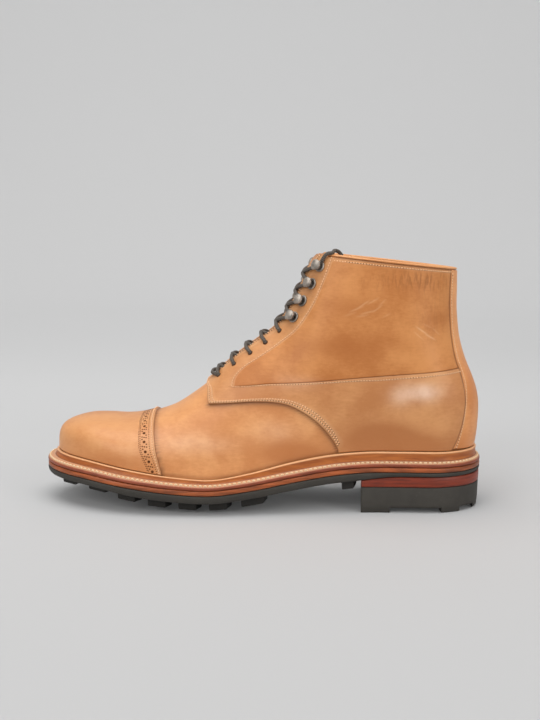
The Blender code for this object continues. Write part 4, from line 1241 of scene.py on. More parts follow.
def panel_row(first, second, distance, ends=(0.0, 1.0)):
    """Row shares and angles along a panel's first edge, at a distance in from it towards the second."""
    near, far = last_point(first[:, 0], first[:, 1]), last_point(second[:, 0], second[:, 1])
    length = np.linalg.norm(far - near, axis=1)
    share = np.arange(len(first)) / len(first)
    keep = (length > 1.1 * distance) & (share >= ends[0]) & (share < ends[1])
    return (first + (second - first) * (distance / length)[:, None])[keep]


# Points of the quarter's edges at which its curved seam leaves the lip, and its facing runs on into the leg
SEAM_START = 116
FACING_START = 268


def leg_thick(sides):
    """The leg's thickness: the facing's along its front edge, thinner away from it."""
    return LEG_THICK + (QUARTER_THICK - LEG_THICK) * np.exp(-np.square(sides[0] / 7.0))


class BOOT_OT_quarters(bpy.types.Operator):
    """The derby quarters: each a grid blended between its two long edges, from back strip to collar"""

    bl_idname = "boot.quarters"
    bl_label = "Quarters"

    def execute(self, context):
        w = clustered(60, 38.0)[None, :, None]
        for name, outer in SIDES:
            first, second = quarter_edges(outer)
            grid = first[:, None] * (1 - w) + second[:, None] * w
            along_edge = np.arange(len(first))[:, None]
            seam = smooth_step(along_edge, SEAM_START, SEAM_START + 20)
            finish = leathers(f"quarter_{name}_leather", 0.5, 1.0, 1.0)
            add_panel(
                f"quarter_{name}_panel", grid[..., 0], signed(grid[..., 1], outer), QUARTER_THICK, finish,
                (f"quarter_{name}",), sinks=(-0.3, -0.3, -1.6, -0.3),
                rows=((QUARTER_ROWS[0], 2, 0.15, 0.7, seam), (QUARTER_ROWS[1], 2, 0.15, 0.5, seam),
                      (FACING_ROW, 3, 0.15, 0.3, 1.0), (0.8, 0, 1.6, 0.0, 1.0)),
                flush={3: along_edge > FACING_START},
            )
        return {"FINISHED"}


class BOOT_OT_legs(bpy.types.Operator):
    """The leg panels: each a patch blended from its four edges, lifted by its thickness"""

    bl_idname = "boot.legs"
    bl_label = "Leg panels"

    def execute(self, context):
        grid = leg_grid(150, 230)
        for name, outer in SIDES:
            finish = leathers(f"leg_{name}_leather", 0.28, 0.93, 0.90, 0.2)
            add_panel(
                f"leg_{name}_panel", grid[..., 0], signed(grid[..., 1], outer), leg_thick, finish,
                (f"leg_{name}",),
                # The first row is a dark line at the top edge, painted shadow under the collar binding; then
                # the collar's stitch row and a dark line beside the back strip
                rows=((0.3, 3, 1.8, 0.0, 1.0), (1.6, 3, 0.1, 0.4, 1.0), (0.8, 1, 1.6, 0.0, 1.0)),
                flush={0: True},
            )
        return {"FINISHED"}


class BOOT_OT_back_strip(bpy.types.Operator):
    """The strip over the back seam: rows up the back, each as wide as its seam, lifted by its thickness"""

    bl_idname = "boot.back_strip"
    bl_label = "Back strip"

    def execute(self, context):
        strip = strip_edge()
        low = lip_row(np.array([0.2]))[0]
        high = band_row(np.array([0.2]))[0]
        v = low + (high - low) * clustered(150, 130.0)
        half = np.interp(v, strip[:, 0], strip[:, 1])
        u = 2 * clustered(46, 40.0) - 1
        phi = half[:, None] * u[None, :]
        v = np.broadcast_to(v[:, None], phi.shape)
        finish = leathers("strip_leather", 0.45, 1.22, 1.25, 0.12)
        add_panel("back_strip_panel", v, phi, STRIP_CUT, finish, ("back_strip",),
                  rows=((1.8, 2, 0.15, 0.4, 1.0), (1.8, 3, 0.15, 0.4, 1.0)))
        return {"FINISHED"}


class BOOT_OT_tongue(bpy.types.Operator):
    """The tongue: a sheet of the last's surface set in under the facings, closed round its edges"""

    bl_idname = "boot.tongue"
    bl_label = "Tongue"

    def execute(self, context):
        v = np.linspace(ROWS[THROAT_ROW] - TONGUE_UNDER, 1.0, 90)[:, None]
        half = np.interp(v, (v[0, 0], v[-1, 0]), TONGUE_HALF_ANGLES)
        phi = math.pi + half * np.linspace(-1.0, 1.0, 60)[None, :]
        v = np.broadcast_to(v, phi.shape)
        depth = UPPER_WALL + TONGUE_CLEAR
        place, normal = last_point(v, phi), last_normal(v, phi)
        top = place - depth * normal
        under = place - (depth + TONGUE_THICK) * normal
        ring = np.concatenate([top, under[:, ::-1]], axis=1)
        points = ring.reshape(-1, 3)
        rows, columns = ring.shape[:2]
        index = np.arange(rows * columns).reshape(rows, columns)
        half_count = columns // 2
        ends = []
        for row in (0, -1):
            line, back = index[row, :half_count], index[row, half_count:][::-1]
            end = strip_quads(line, back)
            ends.append(end if row else end[:, ::-1])
        quads = np.concatenate([grid_quads(rows, columns, closed=True), *ends])
        quads = outward(points, quads)
        finish = leathers("tongue_leather", 0.4, 0.95, 0.95)
        values = PLAIN | {"shade": 0.6}
        add_piece("tongue_sheet", points, quads, finish, "tan_leather", ("tongue",), **values)
        return {"FINISHED"}


# The binding's half height, and how far it laps past the leather it covers
BINDING_HALF = 0.9
BINDING_LAP = 0.15


class BOOT_OT_collar(bpy.types.Operator):
    """The collar's rolled binding: a bead along the top edge, down to the facings' corners"""

    bl_idname = "boot.collar"
    bl_label = "Collar binding"

    def execute(self, context):
        reach_out, reach_in = (throat_angle(np.array([1.0]), outer)[0] for _, outer in SIDES)
        phi = np.linspace(-reach_out, reach_in, 260)
        place = last_point(np.ones_like(phi), phi)
        normal = last_normal(np.ones_like(phi), phi)
        level = unit(normal * (1, 1, 0))
        angle = circle(16)
        wide = (UPPER_WALL + GAP + LEG_THICK) / 2 + BINDING_LAP
        middle = place + ((GAP + LEG_THICK - UPPER_WALL) / 2 * level) + (0.0, 0.0, -BINDING_HALF / 2)
        ring = wide * np.cos(angle)[None, :, None] * level[:, None]
        ring = ring + BINDING_HALF * np.sin(angle)[None, :, None] * np.array([0.0, 0.0, 1.0])
        points = middle[:, None] + ring
        points[[0, -1]] = middle[[0, -1], None] + TUBE_END * ring[[0, -1]]
        points = points.reshape(-1, 3)
        quads = outward(points, grid_quads(len(phi), len(angle), closed=True))
        finish = leathers("binding_leather", 0.45, 1.12, 1.3)
        add_piece("collar_binding", points, quads, finish, "tan_leather", **(PLAIN | {"pale": 0.2}))
        return {"FINISHED"}


def sole_loop(phi, offset, rise=0.0):
    """A loop of plan points round the boot: along the outer side to the toe, then back along the inner."""
    outer, inner = outline_at(phi, offset, rise)
    return np.concatenate([outer, inner[-2:0:-1]])


SOLE_ANGLES = np.linspace(0.0, math.pi, 210)


class BOOT_OT_welt(bpy.types.Operator):
    """The storm welt: one section with a stitched flat and an upturned lip, swept round the feather line"""

    bl_idname = "boot.welt"
    bl_label = "Storm welt"

    def execute(self, context):
        flat, top = WELT_THICK, WELT_THICK + LIP_HEIGHT
        section = (
            (-3.0, 0.05, 0.0), (margin(-0.9), 0.0, 0.0), (margin(-0.25), 0.3, 0.0), (margin(0.05), 0.8, 0.0),
            (margin(0.05), 1.5, 0.0), (margin(0.0), 1.9, 0.0), (margin(-0.15), 2.15, 0.15),
            (margin(-0.7), 2.6, 0.7), (margin(-2.0), 3.3, 1.0), (4.7, flat + 0.6, 1.0),
            (4.35, flat + 0.75, 1.2), (4.1, flat + 0.72, 1.7), (3.8, flat + 1.2, 2.0),
            (3.45, flat + 2.4, 2.0), (3.2, flat + 4.0, 2.05), (3.1, top - 1.6, 2.1), (3.15, top - 1.1, 2.4),
            (3.0, top - 0.55, 3.0), (2.4, top - 0.12, 3.0), (1.5, top - 0.1, 3.0), (0.7, top - 0.5, 2.4),
            (0.4, top - 1.2, 2.0), (0.3, flat, 2.0), (-3.0, flat, 2.0),
        )
        loops = []
        zones = []
        full_rise = lip_rise(SOLE_ANGLES)
        for offset, height, zone in section:
            rise = max(height - flat, 0.0) / LIP_HEIGHT * full_rise
            plan = sole_loop(SOLE_ANGLES, offset, rise)
            height = min(height, flat) + np.concatenate([rise, rise[-2:0:-1]])
            z = SOLE["edge_z"](plan[:, 0]) - sole_dip(*plan.T) + MIDSOLE_THICK + GAP + height
            loops.append(np.concatenate([plan, z[:, None]], axis=1))
            zones.append(np.full(len(plan), zone))
        loops = np.array(loops + loops[:1])
        count, length = loops.shape[:2]
        points = loops[:-1].reshape(-1, 3)
        index = np.arange(len(points)).reshape(count - 1, length)
        index = np.concatenate([index, index[:1]])
        index = np.concatenate([index, index[:, :1]], axis=1)
        quads = outward(points, quads_of(index))
        zone = np.concatenate(zones)
        add_piece("storm_welt", points, quads, welt_finish(), "welt_leather", ("welt",), zone=zone)
        return {"FINISHED"}


def welt_finish():
    """Waxed welt leather in zones: dark rubbed edge and orange lip; the stitched flat and the lip's bead are
    paler as painted light where they face up, and the lip's foot is darker as painted shade.
    """
    f = Finish("welt_wax")
    c = colours()
    streak = f.noise(60.0, 3.0, 0.6, f.stretched((1.0, 1.0, 9.0)))
    fibre = f.noise(700.0, 3.0, 0.6)
    zone = f.attribute("zone")
    colour = f.mix(streak.between(0.3, 0.7), rgba(c.welt, 0.6), rgba(c.welt))
    # The stitched flat, painted paler as painted light on a face turned up
    colour = f.mix(zone.between(0.0, 1.0), colour, rgba((0.60, 0.30, 0.155)))
    orange = f.mix(streak.between(0.3, 0.7), rgba((0.30, 0.074, 0.010)), rgba((0.46, 0.132, 0.020)))
    colour = f.mix(zone.between(1.0, 2.0), colour, orange)
    # Painted shade in the groove at the lip's foot
    foot = zone.between(1.1, 1.5) - zone.between(1.8, 2.04)
    colour = f.mix(foot * 0.72, colour, rgba((0.10, 0.026, 0.006)))
    # The lip's bead, painted paler as a painted highlight along its top
    colour = f.mix(zone.between(2.0, 3.0), colour, rgba((0.76, 0.40, 0.19)))
    return f.shade(
        Base_Color=colour, Roughness=0.34 + fibre * 0.2, Normal=f.bump(fibre + streak, 0.2, 0.0003),
        Specular_IOR_Level=0.45,
    )


def layer(name, levels, heights, angles, material, slot, nodes, closed_front=True, across=13, shift=None):
    """A sole layer: a loop round the outline for each (offset, share of height), closed by rungs across."""
    t = np.linspace(-1.0, 1.0, across)[None, :, None]
    parts = []
    for offset, share in levels:
        outer, inner = outline_at(angles, offset)
        plan = outer[:, None] * (1 - t) / 2 + inner[:, None] * (1 + t) / 2
        plan[0] = plan[0, across // 2]
        if closed_front:
            plan[-1] = plan[-1, across // 2]
        if shift:
            plan[..., 0] += shift(plan[..., 0], plan[..., 1])
        low, high = heights(plan[..., 0], plan[..., 1])
        parts.append(np.concatenate([plan, (low + (high - low) * share)[..., None]], axis=-1))
    rungs = np.array(parts)
    count = len(angles)
    index = np.arange(rungs[..., 0].size).reshape(rungs.shape[:3])
    under = grid_quads(count, across)
    quads = [under, under[:, ::-1] + (len(levels) - 1) * count * across]
    loops = np.stack([np.concatenate([k[:, 0], k[-1, 1:-1], k[::-1, -1], k[0, 1:-1][::-1]]) for k in index])
    loops = np.concatenate([loops, loops[:, :1]], axis=1)
    quads.append(quads_of(loops))
    points = rungs.reshape(-1, 3)
    return add_piece(name, points, aligned(points, quads), material, slot, nodes)


def at_margin(kind, *levels):
    """Levels of a layer whose offsets are added to the welt's or the heel's own margin."""
    return [(kind(extra), share) for extra, share in levels]


def aligned(points, groups):
    """The underside turned down, the top turned up and the sides turned out."""
    under, top, sides = groups
    if quad_normals(points, under)[:, 2].sum() > 0:
        under = under[:, ::-1]
    if quad_normals(points, top)[:, 2].sum() < 0:
        top = top[:, ::-1]
    return np.concatenate([under, top, facing(points, sides, points - points.mean(axis=0))])


def edge_heights(low, thick):
    """Underside and top of a layer that follows the sole."""

    def heights(x, y):
        base = SOLE["edge_z"](x) - sole_dip(x, y) + low
        return base, base + thick

    return heights


class BOOT_OT_midsole(bpy.types.Operator):
    """The leather midsole: a layer with rounded edges at the welt's margin"""

    bl_idname = "boot.midsole"
    bl_label = "Midsole"

    def execute(self, context):
        levels = at_margin(
            margin, (-0.9, 0.0), (-0.25, 0.08), (0.0, 0.3), (0.0, 0.72),
            (-0.3, 0.93), (-0.9, 1.0),
        )
        f = Finish("midsole_stain")
        c = colours()
        streak = f.noise(50.0, 4.0, 0.6, f.stretched((1.0, 1.0, 10.0)))
        fibre = f.noise(800.0, 3.0, 0.6)
        colour = f.mix(streak.between(0.3, 0.7), rgba(c.midsole, 0.6), rgba(c.midsole, 1.5))
        f.shade(Base_Color=colour, Roughness=0.32 + fibre * 0.2, Normal=f.bump(fibre + streak, 0.2, 0.0003))
        heights = edge_heights(0.0, MIDSOLE_THICK)
        layer("midsole_edge", levels, heights, SOLE_ANGLES, f.material, "welt_leather", ("midsole",))
        return {"FINISHED"}


class BOOT_OT_insole(bpy.types.Operator):
    """The insole board: a layer inside the upper's wall that follows the sole's dip"""

    bl_idname = "boot.insole"
    bl_label = "Insole"

    def execute(self, context):
        inset = -(UPPER_WALL + GAP)
        levels = ((inset - 0.5, 0.0), (inset, 0.15), (inset, 0.8), (inset - 0.6, 1.0))
        f = Finish("insole_leather")
        c = colours()
        cloud = f.noise(30.0, 4.0, 0.6)
        fibre = f.noise(900.0, 3.0, 0.6)
        colour = f.mix(cloud.between(0.3, 0.7), rgba(c.lining, 0.7), rgba(c.lining))
        f.shade(Base_Color=colour, Roughness=0.55 + fibre * 0.25, Normal=f.bump(fibre, 0.25, 0.0003))
        heights = edge_heights(MIDSOLE_THICK + WELT_THICK + 2 * GAP, INSOLE_THICK)
        layer(
            "insole_board", levels, heights, SOLE_ANGLES, f.material, "lining_leather", ("insole",),
            across=21,
        )
        return {"FINISHED"}


def rubber_finish(name="sole_rubber", light=1.0):
    """Dark moulded rubber: matt, faintly mottled, with pale specks of dust; a light below 1 makes a darker
    copy, which on the lugs is painted shade.
    """
    f = Finish(name)
    tone = light * np.array(colours().rubber)
    cloud = f.noise(40.0, 3.0, 0.6)
    speck = f.noise(900.0, 3.0, 0.7)
    colour = f.mix(cloud.between(0.3, 0.7), rgba(tone, 0.85), rgba(tone, 1.15))
    colour = f.mix(speck.between(0.58, 0.8) * (0.25 * light), colour, rgba((0.16, 0.15, 0.14)))
    return f.shade(
        Base_Color=colour, Roughness=0.58 + cloud * 0.2, Normal=f.bump(speck, 0.15, 0.0003),
        Specular_IOR_Level=0.35,
    )


# Width of the lugs' eased edges, in metres
LUG_EASE = 0.0007


class BOOT_OT_outsole(bpy.types.Operator):
    """The rubber outsole with its lugs, each a block tapered to its tread face, with eased edges"""

    bl_idname = "boot.outsole"
    bl_label = "Outsole"

    def execute(self, context):
        levels = at_margin(
            margin, (-2.2, 0.0), (-1.3, 0.06), (-0.5, 0.28), (-0.1, 0.55), (0.0, 0.8),
            (-0.12, 0.94), (-0.5, 1.0),
        )

        def heights(x, y):
            return sole_underside(x, y), SOLE["edge_z"](x) - sole_dip(x, y) - GAP

        finish = rubber_finish()
        layer("rubber_sole", levels, heights, SOLE_ANGLES, finish, "dark_rubber", ("outsole",), across=31)
        parts = []
        for x, half in LUG_ROWS:
            for t_from, t_to in LUG_COLUMNS:
                points, faces = lug(x, half, t_from, t_to)
                points, faces = np.array(points), np.array(faces)
                parts.append((points, outward(points, faces)))
        # The lugs take the rubber at 0.4 of its tone: painted shade, for they stand in the shadow under the
        # sole
        lugs = add_piece("rubber_lugs", *joined(parts), rubber_finish("lug_rubber_painted_shade", 0.4), "dark_rubber")
        ease(lugs, LUG_EASE)
        return {"FINISHED"}


def ease(piece, width):
    """Rounded edges on a blocky piece."""
    bevel = piece.modifiers.new("eased", "BEVEL")
    bevel.width = width
    bevel.segments = 2
    bevel.limit_method = "ANGLE"
    bevel.harden_normals = False
    piece.data.polygons.foreach_set("use_smooth", np.zeros(len(piece.data.polygons), bool))


class BOOT_OT_heel(bpy.types.Operator):
    """The heel: a stacked leather lift over a rubber block with grooves across its tread"""

    bl_idname = "boot.heel"
    bl_label = "Heel"

    def execute(self, context):
        angles = heel_angles(90)
        top = heel_top()

        def lift_heights(x, y):
            return np.full_like(x, top - LIFT_THICK), sole_underside(x, y) - GAP

        f = Finish("lift_stain")
        c = colours()
        stack = (f.axis("Z") * 2600.0).wave() * 0.5 + 0.5
        streak = f.noise(55.0, 4.0, 0.6, f.stretched((1.0, 1.0, 8.0)))
        fibre = f.noise(800.0, 3.0, 0.6)
        tone = streak.between(0.3, 0.7) * 0.8 + stack * 0.2
        colour = f.mix(tone, rgba(c.lift, 0.7), rgba(c.lift, 1.35))
        f.shade(Base_Color=colour, Roughness=0.36 + fibre * 0.2, Normal=f.bump(fibre + streak, 0.2, 0.0003))
        levels = at_margin(heel_margin, (-0.9, 0.0), (-0.45, 0.06), (-0.3, 0.5), (-0.3, 0.93), (-0.7, 1.0))
        layer(
            "heel_stack", levels, lift_heights, angles, f.material, "lift_leather", ("heel_lift",),
            closed_front=False, shift=breast_shift,
        )

        def block_heights(x, y):
            return np.zeros_like(x), np.full_like(x, top - LIFT_THICK - GAP)

        levels = at_margin(heel_margin, (-2.0, 0.0), (-1.2, 0.05), (-0.7, 0.3), (-0.5, 0.95), (-0.9, 1.0))
        block = layer(
            "heel_rubber", levels, block_heights, angles, rubber_finish(), "dark_rubber", ("heel_block",),
            closed_front=False, shift=breast_shift,
        )
        cut_grooves(block)
        return {"FINISHED"}


GROOVE_FACES = ((3, 2, 1, 0), (4, 5, 6, 7), (0, 1, 5, 4), (1, 2, 6, 5), (2, 3, 7, 6), (3, 0, 4, 7))


def cut_grooves(block):
    """Cuts the heel's grooves out of a piece."""
    parts = []
    for middle, half in HEEL_GROOVES:
        for y_from, y_to in ((-GROOVE_REACH, -HEEL_RIB_HALF), (HEEL_RIB_HALF, GROOVE_REACH)):
            corners = np.array([
                (middle + side, y, z)
                for z in (GROOVE_START, GROOVE_DEPTH)
                for side, y in ((-half, y_from), (half, y_from), (half, y_to), (-half, y_to))
            ])
            parts.append((corners, outward(corners, np.array(GROOVE_FACES))))
    points, quads = joined(parts)
    mesh = bpy.data.meshes.new("grooves")
    mesh.from_pydata((points * MM).tolist(), [], quads.tolist())
    cutter = bpy.data.objects.new("grooves", mesh)
    bpy.context.scene.collection.objects.link(cutter)
    modifier = block.modifiers.new("grooves", "BOOLEAN")
    modifier.operation = "DIFFERENCE"
    modifier.object = cutter
    modifier.solver = "EXACT"
    graph = bpy.context.evaluated_depsgraph_get()
    block.data = bpy.data.meshes.new_from_object(block.evaluated_get(graph))
    block.modifiers.clear()
    bpy.data.objects.remove(cutter, do_unlink=True)


# The hook's arm: one row for each section, as its place back and out from the base, half width and half
# thickness
HOOK_ARM = (
    (-2.5, 0.3, 1.9, 0.8), (-3.2, 1.4, 2.1, 0.75), (-3.6, 2.5, 2.6, 0.7), (-3.3, 3.7, 3.2, 0.75),
    (-2.0, 4.75, 3.6, 0.8), (0.0, 5.2, 3.7, 0.85), (1.9, 5.0, 3.2, 0.8), (3.1, 4.4, 2.1, 0.6),
    (3.5, 4.1, 0.4, 0.2),
)

# The hook's base as radius and height round its profile, its dome's rise, and the gap under hooks and lace
HOOK_BASE = (
    (0.05, 0.0), (3.6, 0.0), (4.0, 0.25), (4.0, 0.7), (3.6, 0.95), (2.4, 0.95), (1.9, 0.6), (0.05, 0.5),
)
HOOK_DOME = 0.9
LACE_CLEAR = 0.1


class BOOT_OT_hooks(bpy.types.Operator):
    """The lacing hooks: a round base, and an arm that rises on the throat's side and curls back as a dome"""

    bl_idname = "boot.hooks"
    bl_label = "Hooks"

    def execute(self, context):
        arm = np.array(HOOK_ARM)
        length = np.concatenate([[0.0], np.cumsum(np.hypot(*np.diff(arm[:, :2], axis=0).T))])
        t = np.linspace(0.0, length[-1], 26)
        back, out, wide, thick = (curve_through(length, column)(t) for column in arm.T)
        run = unit(np.gradient(np.stack([back, out], axis=1), axis=0))
        angle = circle(18)
        across = wide[:, None] * np.cos(angle)
        up = thick[:, None] * np.sin(angle)
        dome = HOOK_DOME * np.square(wide / wide.max())[:, None] * (1 - np.square(np.cos(angle)))
        up = up + np.where(np.sin(angle) > 0, dome, 0.0)
        local = np.stack([back[:, None] - up * run[:, 1:], across, out[:, None] + up * run[:, :1]], axis=-1)
        arm_points = local.reshape(-1, 3)
        arm_quads = grid_quads(*local.shape[:2], closed=True)
        profile = np.array(HOOK_BASE)
        spin = circle(28)
        rise = np.broadcast_to(profile[:, 1:], (len(profile), len(spin)))
        disc = np.stack([profile[:, :1] * np.cos(spin), profile[:, :1] * np.sin(spin), rise], axis=-1)
        disc_points = disc.reshape(-1, 3)
        disc_quads = grid_quads(*rise.shape, closed=True)
        parts = []
        for x, z in HOOKS:
            v, phi = locate(x, z)
            for sign in (-1.0, 1.0):
                place, axes = frame_at(v, sign * phi, GAP + QUARTER_THICK + LACE_CLEAR)
                for points, quads in ((arm_points, arm_quads), (disc_points, disc_quads)):
                    world = place + points @ axes
                    parts.append((world, outward(world, quads)))
        f = Finish("hook_bronze")
        c = colours()
        cloud = f.noise(220.0, 3.0, 0.6)
        fine = f.noise(1500.0, 2.0, 0.6)
        colour = f.mix(cloud.between(0.3, 0.7), rgba(c.metal, 0.6), rgba(c.metal, 1.2))
        f.shade(
            Base_Color=colour, Metallic=0.75, Roughness=0.40 + cloud * 0.2, Normal=f.bump(fine, 0.08, 0.0002),
        )
        points, quads = joined(parts)
        names = [f"hook_{side}_{k}" for side in ("outer", "inner") for k in range(1, len(HOOKS) + 1)]
        add_piece("lacing_hooks", points, quads, f.material, "bronze_hook", names)
        return {"FINISHED"}


def lace_lift():
    """Height of the lace's middle where it lies on the facings."""
    return GAP + QUARTER_THICK + sizes().lace + LACE_CLEAR


def lace_runs():
    """Routes of the lace as row shares, angles and lifts.

    Each run comes out of an eyelet and crosses to the other side, or goes from the middle about a hook and
    back.
    """
    eyelets = placed(EYELETS)
    hooks = placed(HOOKS)
    over = lace_lift()
    runs = []
    for side in (-1.0, 1.0):
        for k, (v, phi) in enumerate(eyelets):
            last = k + 1 == len(eyelets)
            step = (hooks[0] if last else eyelets[k + 1])[0] - v
            near = throat_angle(np.array(v + 0.4 * step), side < 0)
            far = throat_angle(np.array(v + 0.65 * step), side > 0)
            runs.append([
                (v, side * phi, -2.0), (v, side * phi, 0.6),
                (v + 0.06 * step, side * (phi + 0.10 * (near - phi)), over - 0.2),
                (v + 0.22 * step, side * (phi + 0.55 * (near - phi)), over + 0.25),
                (v + 0.38 * step, side * near, over + 0.1), (v + 0.50 * step, side * math.pi, over - 0.8),
                (v + 0.60 * step, side * (2 * math.pi - far), over if last else over - 1.2),
                (v + 0.70 * step, side * (2 * math.pi - far + 0.06), over if last else -1.4),
            ])
    for side in (-1.0, 1.0):
        for k, (v, phi) in enumerate(hooks):
            rise = hooks[max(k, 1)][0] - hooks[max(k, 1) - 1][0]
            edge = throat_angle(np.array(v), side < 0)
            low, high, neck = v - 0.45 * rise, v + 0.45 * rise, over + 0.9
            beside = side * (phi + 0.35 * (edge - phi))
            route = [
                (low - 0.1 * rise, side * math.pi, over - 0.4), (low + 0.08 * rise, side * edge, over + 0.2),
                (v - 0.16 * rise, beside, neck - 0.3), (v - 0.06 * rise, side * (phi - 0.02), neck),
                (v + 0.06 * rise, side * (phi - 0.02), neck), (v + 0.16 * rise, beside, neck - 0.3),
                (high - 0.08 * rise, side * edge, over + 0.2),
                (high + 0.1 * rise, side * math.pi, over - 0.4),
            ]
            runs.append(route if k + 1 < len(hooks) else route[:-2])
    bar_v, bar_phi = eyelets[0]
    bar = [(bar_v, -bar_phi, -2.0), (bar_v, -bar_phi, 0.6), (bar_v - 0.002, -(bar_phi + 0.06), over - 0.2)]
    bar += [(bar_v - 0.004, -math.pi, over)]
    runs.append(bar + [(v, -2 * math.pi - phi, lift) for v, phi, lift in bar[-2::-1]])
    return runs


class BOOT_OT_lace(bpy.types.Operator):
    """The lace: round cord through the eyelets and about the hooks, one end tucked over the collar"""

    bl_idname = "boot.lace"
    bl_label = "Lace"

    def execute(self, context):
        radius = sizes().lace
        parts, lengths, turns = [], [], []
        routes = []
        for run in lace_runs():
            run = np.array(run)
            routes.append(smoothed(lifted(run[:, 0], run[:, 1], run[:, 2:]), 46))
        routes.append(smoothed(lace_end(-1.0), 40))
        for route in routes:
            points, quads, length, turn = tube(route, radius)
            parts.append((points, quads))
            lengths.append(length)
            turns.append(turn)
        f = Finish("lace_braid")
        c = colours()
        run = f.attribute("run") * 2.6
        turn = f.attribute("turn") * 4.0
        braid = (run + turn).wave() * (run - turn).wave()
        fuzz = f.noise(1800.0, 3.0, 0.6)
        colour = f.mix(braid.between(-0.8, 0.8), rgba(c.lace, 0.6), rgba(c.lace, 1.7))
        colour = f.mix(fuzz.between(0.5, 0.75) * 0.3, colour, rgba((0.16, 0.13, 0.11)))
        weave = f.bump(braid * 0.6 + fuzz * 0.4, 0.5, 0.0004)
        f.shade(Base_Color=colour, Roughness=0.62 + fuzz * 0.25, Normal=weave)
        points, quads = joined(parts)
        add_piece("lace_cord", points, quads, f.material, "lace_cotton", ("lace",),
                  run=np.concatenate(lengths), turn=np.concatenate(turns))
        return {"FINISHED"}


def lace_end(side):
    """Route of a lace end: from the top hook up, over the collar and down inside."""
    v, phi = placed(HOOKS)[-1]
    over = lace_lift()
    start = lifted(v + 0.010, side * (phi - 0.03), over + 0.6)
    first = lifted(v + 0.035, side * (phi - 0.10), over + 0.3)
    rim = lifted(1.0, side * (phi - 0.16), 0.4)
    return np.array([
        start, first, rim + (0.0, 0.0, 1.4), rim + (1.2, -side * 2.2, 2.6), rim + (3.8, -side * 4.5, 2.2),
        rim + (6.6, -side * 6.0, -0.8), rim + (8.0, -side * 6.5, -7.0),
    ])


def discs(places, ups, radius, rise):
    """Round flat spots, one for each place: rings from the rim to the middle, a rise above the surface."""
    ring = np.array([1.0, 0.75, 0.4, 0.05])
    angle = circle(12)
    helper = np.where(np.abs(ups[:, :1]) < 0.9, np.array([[1.0, 0.0, 0.0]]), np.array([[0.0, 1.0, 0.0]]))
    first = unit(np.cross(ups, helper))
    second = np.cross(ups, first)
    turn = angle[None, None, :, None]
    flat = np.cos(turn) * first[:, None, None] + np.sin(turn) * second[:, None, None]
    points = places[:, None, None] + radius * ring[None, :, None, None] * flat + rise * ups[:, None, None]
    quads = grid_quads(len(ring), len(angle), closed=True)
    step = len(ring) * len(angle)
    quads = (quads[None] + (np.arange(len(places)) * step)[:, None, None]).reshape(-1, 4)
    points = points.reshape(-1, 3)
    return points, facing(points, quads, np.repeat(ups, step, axis=0))


def along_row(path, lift, step, offset=0.0):
    """Places at even steps along a line of row shares and angles, with the directions outwards."""
    place = lifted(path[:, 0], path[:, 1], lift)
    total = travelled(place)
    t = np.arange(step * (0.5 + offset), total[-1], step)
    v, phi = sampled(path, total, t).T
    return lifted(v, phi, lift), last_normal(v, phi)


# Holes: the cap's punched rows as their distance from its seam, step along it, start as a share of the step
# and radius as a share of the larger holes'
PUNCHED_ROWS = (
    (5.7, 7.2, 0.0, 1.0), (4.5, 7.2, 0.36, 0.5), (6.9, 7.2, 0.36, 0.5), (4.5, 7.2, 0.64, 0.5),
    (6.9, 7.2, 0.64, 0.5), (5.7, 7.2, 0.5, 0.5), (2.9, 1.5, 0.0, 0.34), (8.1, 1.5, 0.0, 0.38),
    (8.9, 1.5, 0.5, 0.34),
)
EYELET_RADIUS = 1.9
EYELET_RISE = 0.06
NEEDLE_RADIUS = 0.36
HOLE_RISE = 0.05


class BOOT_OT_holes(bpy.types.Operator):
    """Eyelets of the facings, and the toe cap's punched band: dark round spots just over the leather, painted
    shade in place of holes
    """

    bl_idname = "boot.holes"
    bl_label = "Holes"

    def execute(self, context):
        parts = []
        eyelets = placed(EYELETS)
        for sign in (-1.0, 1.0):
            v, phi = eyelets[:, 0], sign * eyelets[:, 1]
            places = lifted(v, phi, GAP + QUARTER_THICK)
            parts.append(discs(places, last_normal(v, phi), EYELET_RADIUS, EYELET_RISE))
        lip, seam = cap_edges(400)
        for distance, step, offset, share in PUNCHED_ROWS:
            places, ups = along_row(panel_row(seam, lip, distance), GAP + CAP_THICK, step, offset)
            parts.append(discs(places, ups, share * sizes().punch, HOLE_RISE))
        add_piece("punched_holes", *joined(parts), hole_finish("hole_shadow", 1.6), "tan_leather")
        return {"FINISHED"}


def hole_finish(name, light=1.0):
    """Painted shade for a hole: the dark inside of a hole in leather, on a disc over it."""
    f = Finish(name)
    speck = f.noise(900.0)
    tone = light * np.array((0.05, 0.018, 0.007))
    colour = f.mix(speck, rgba(tone, 0.7), rgba(tone, 2.0))
    return f.shade(Base_Color=colour, Roughness=0.9, Specular_IOR_Level=0.1)


# Stitches: rise above the leather, the collar row's share of the leg's height, the strip row's turn from its
# edge, and the welt row's height, inset, share of its step, radius and sink
STITCH_RISE = 0.15
COLLAR_ROW_SHARE = 0.021
STRIP_ROW_TURN = 0.03
WELT_STITCH_HEIGHT = 3.15
WELT_STITCH_INSET = -1.5
WELT_STITCH_FORM = (0.74, 0.78, 0.45)


def needle_row(path, lift, length):
    """Needle holes between the stitches of a row, as dark discs of painted shade."""
    places, ups = along_row(path, lift, length, -0.5)
    return discs(places, ups, NEEDLE_RADIUS, HOLE_RISE)


def thread_finish(name, colour):
    """Waxed thread: fine twist, its tone varying a little at random."""
    f = Finish(name)
    twist = f.noise(1400.0, 2.0, 0.6)
    tone = f.mix(twist, rgba(colour, 0.7), rgba(colour, 1.12))
    return f.shade(Base_Color=tone, Roughness=0.6 + twist * 0.15, Normal=f.bump(twist, 0.3, 0.0002))


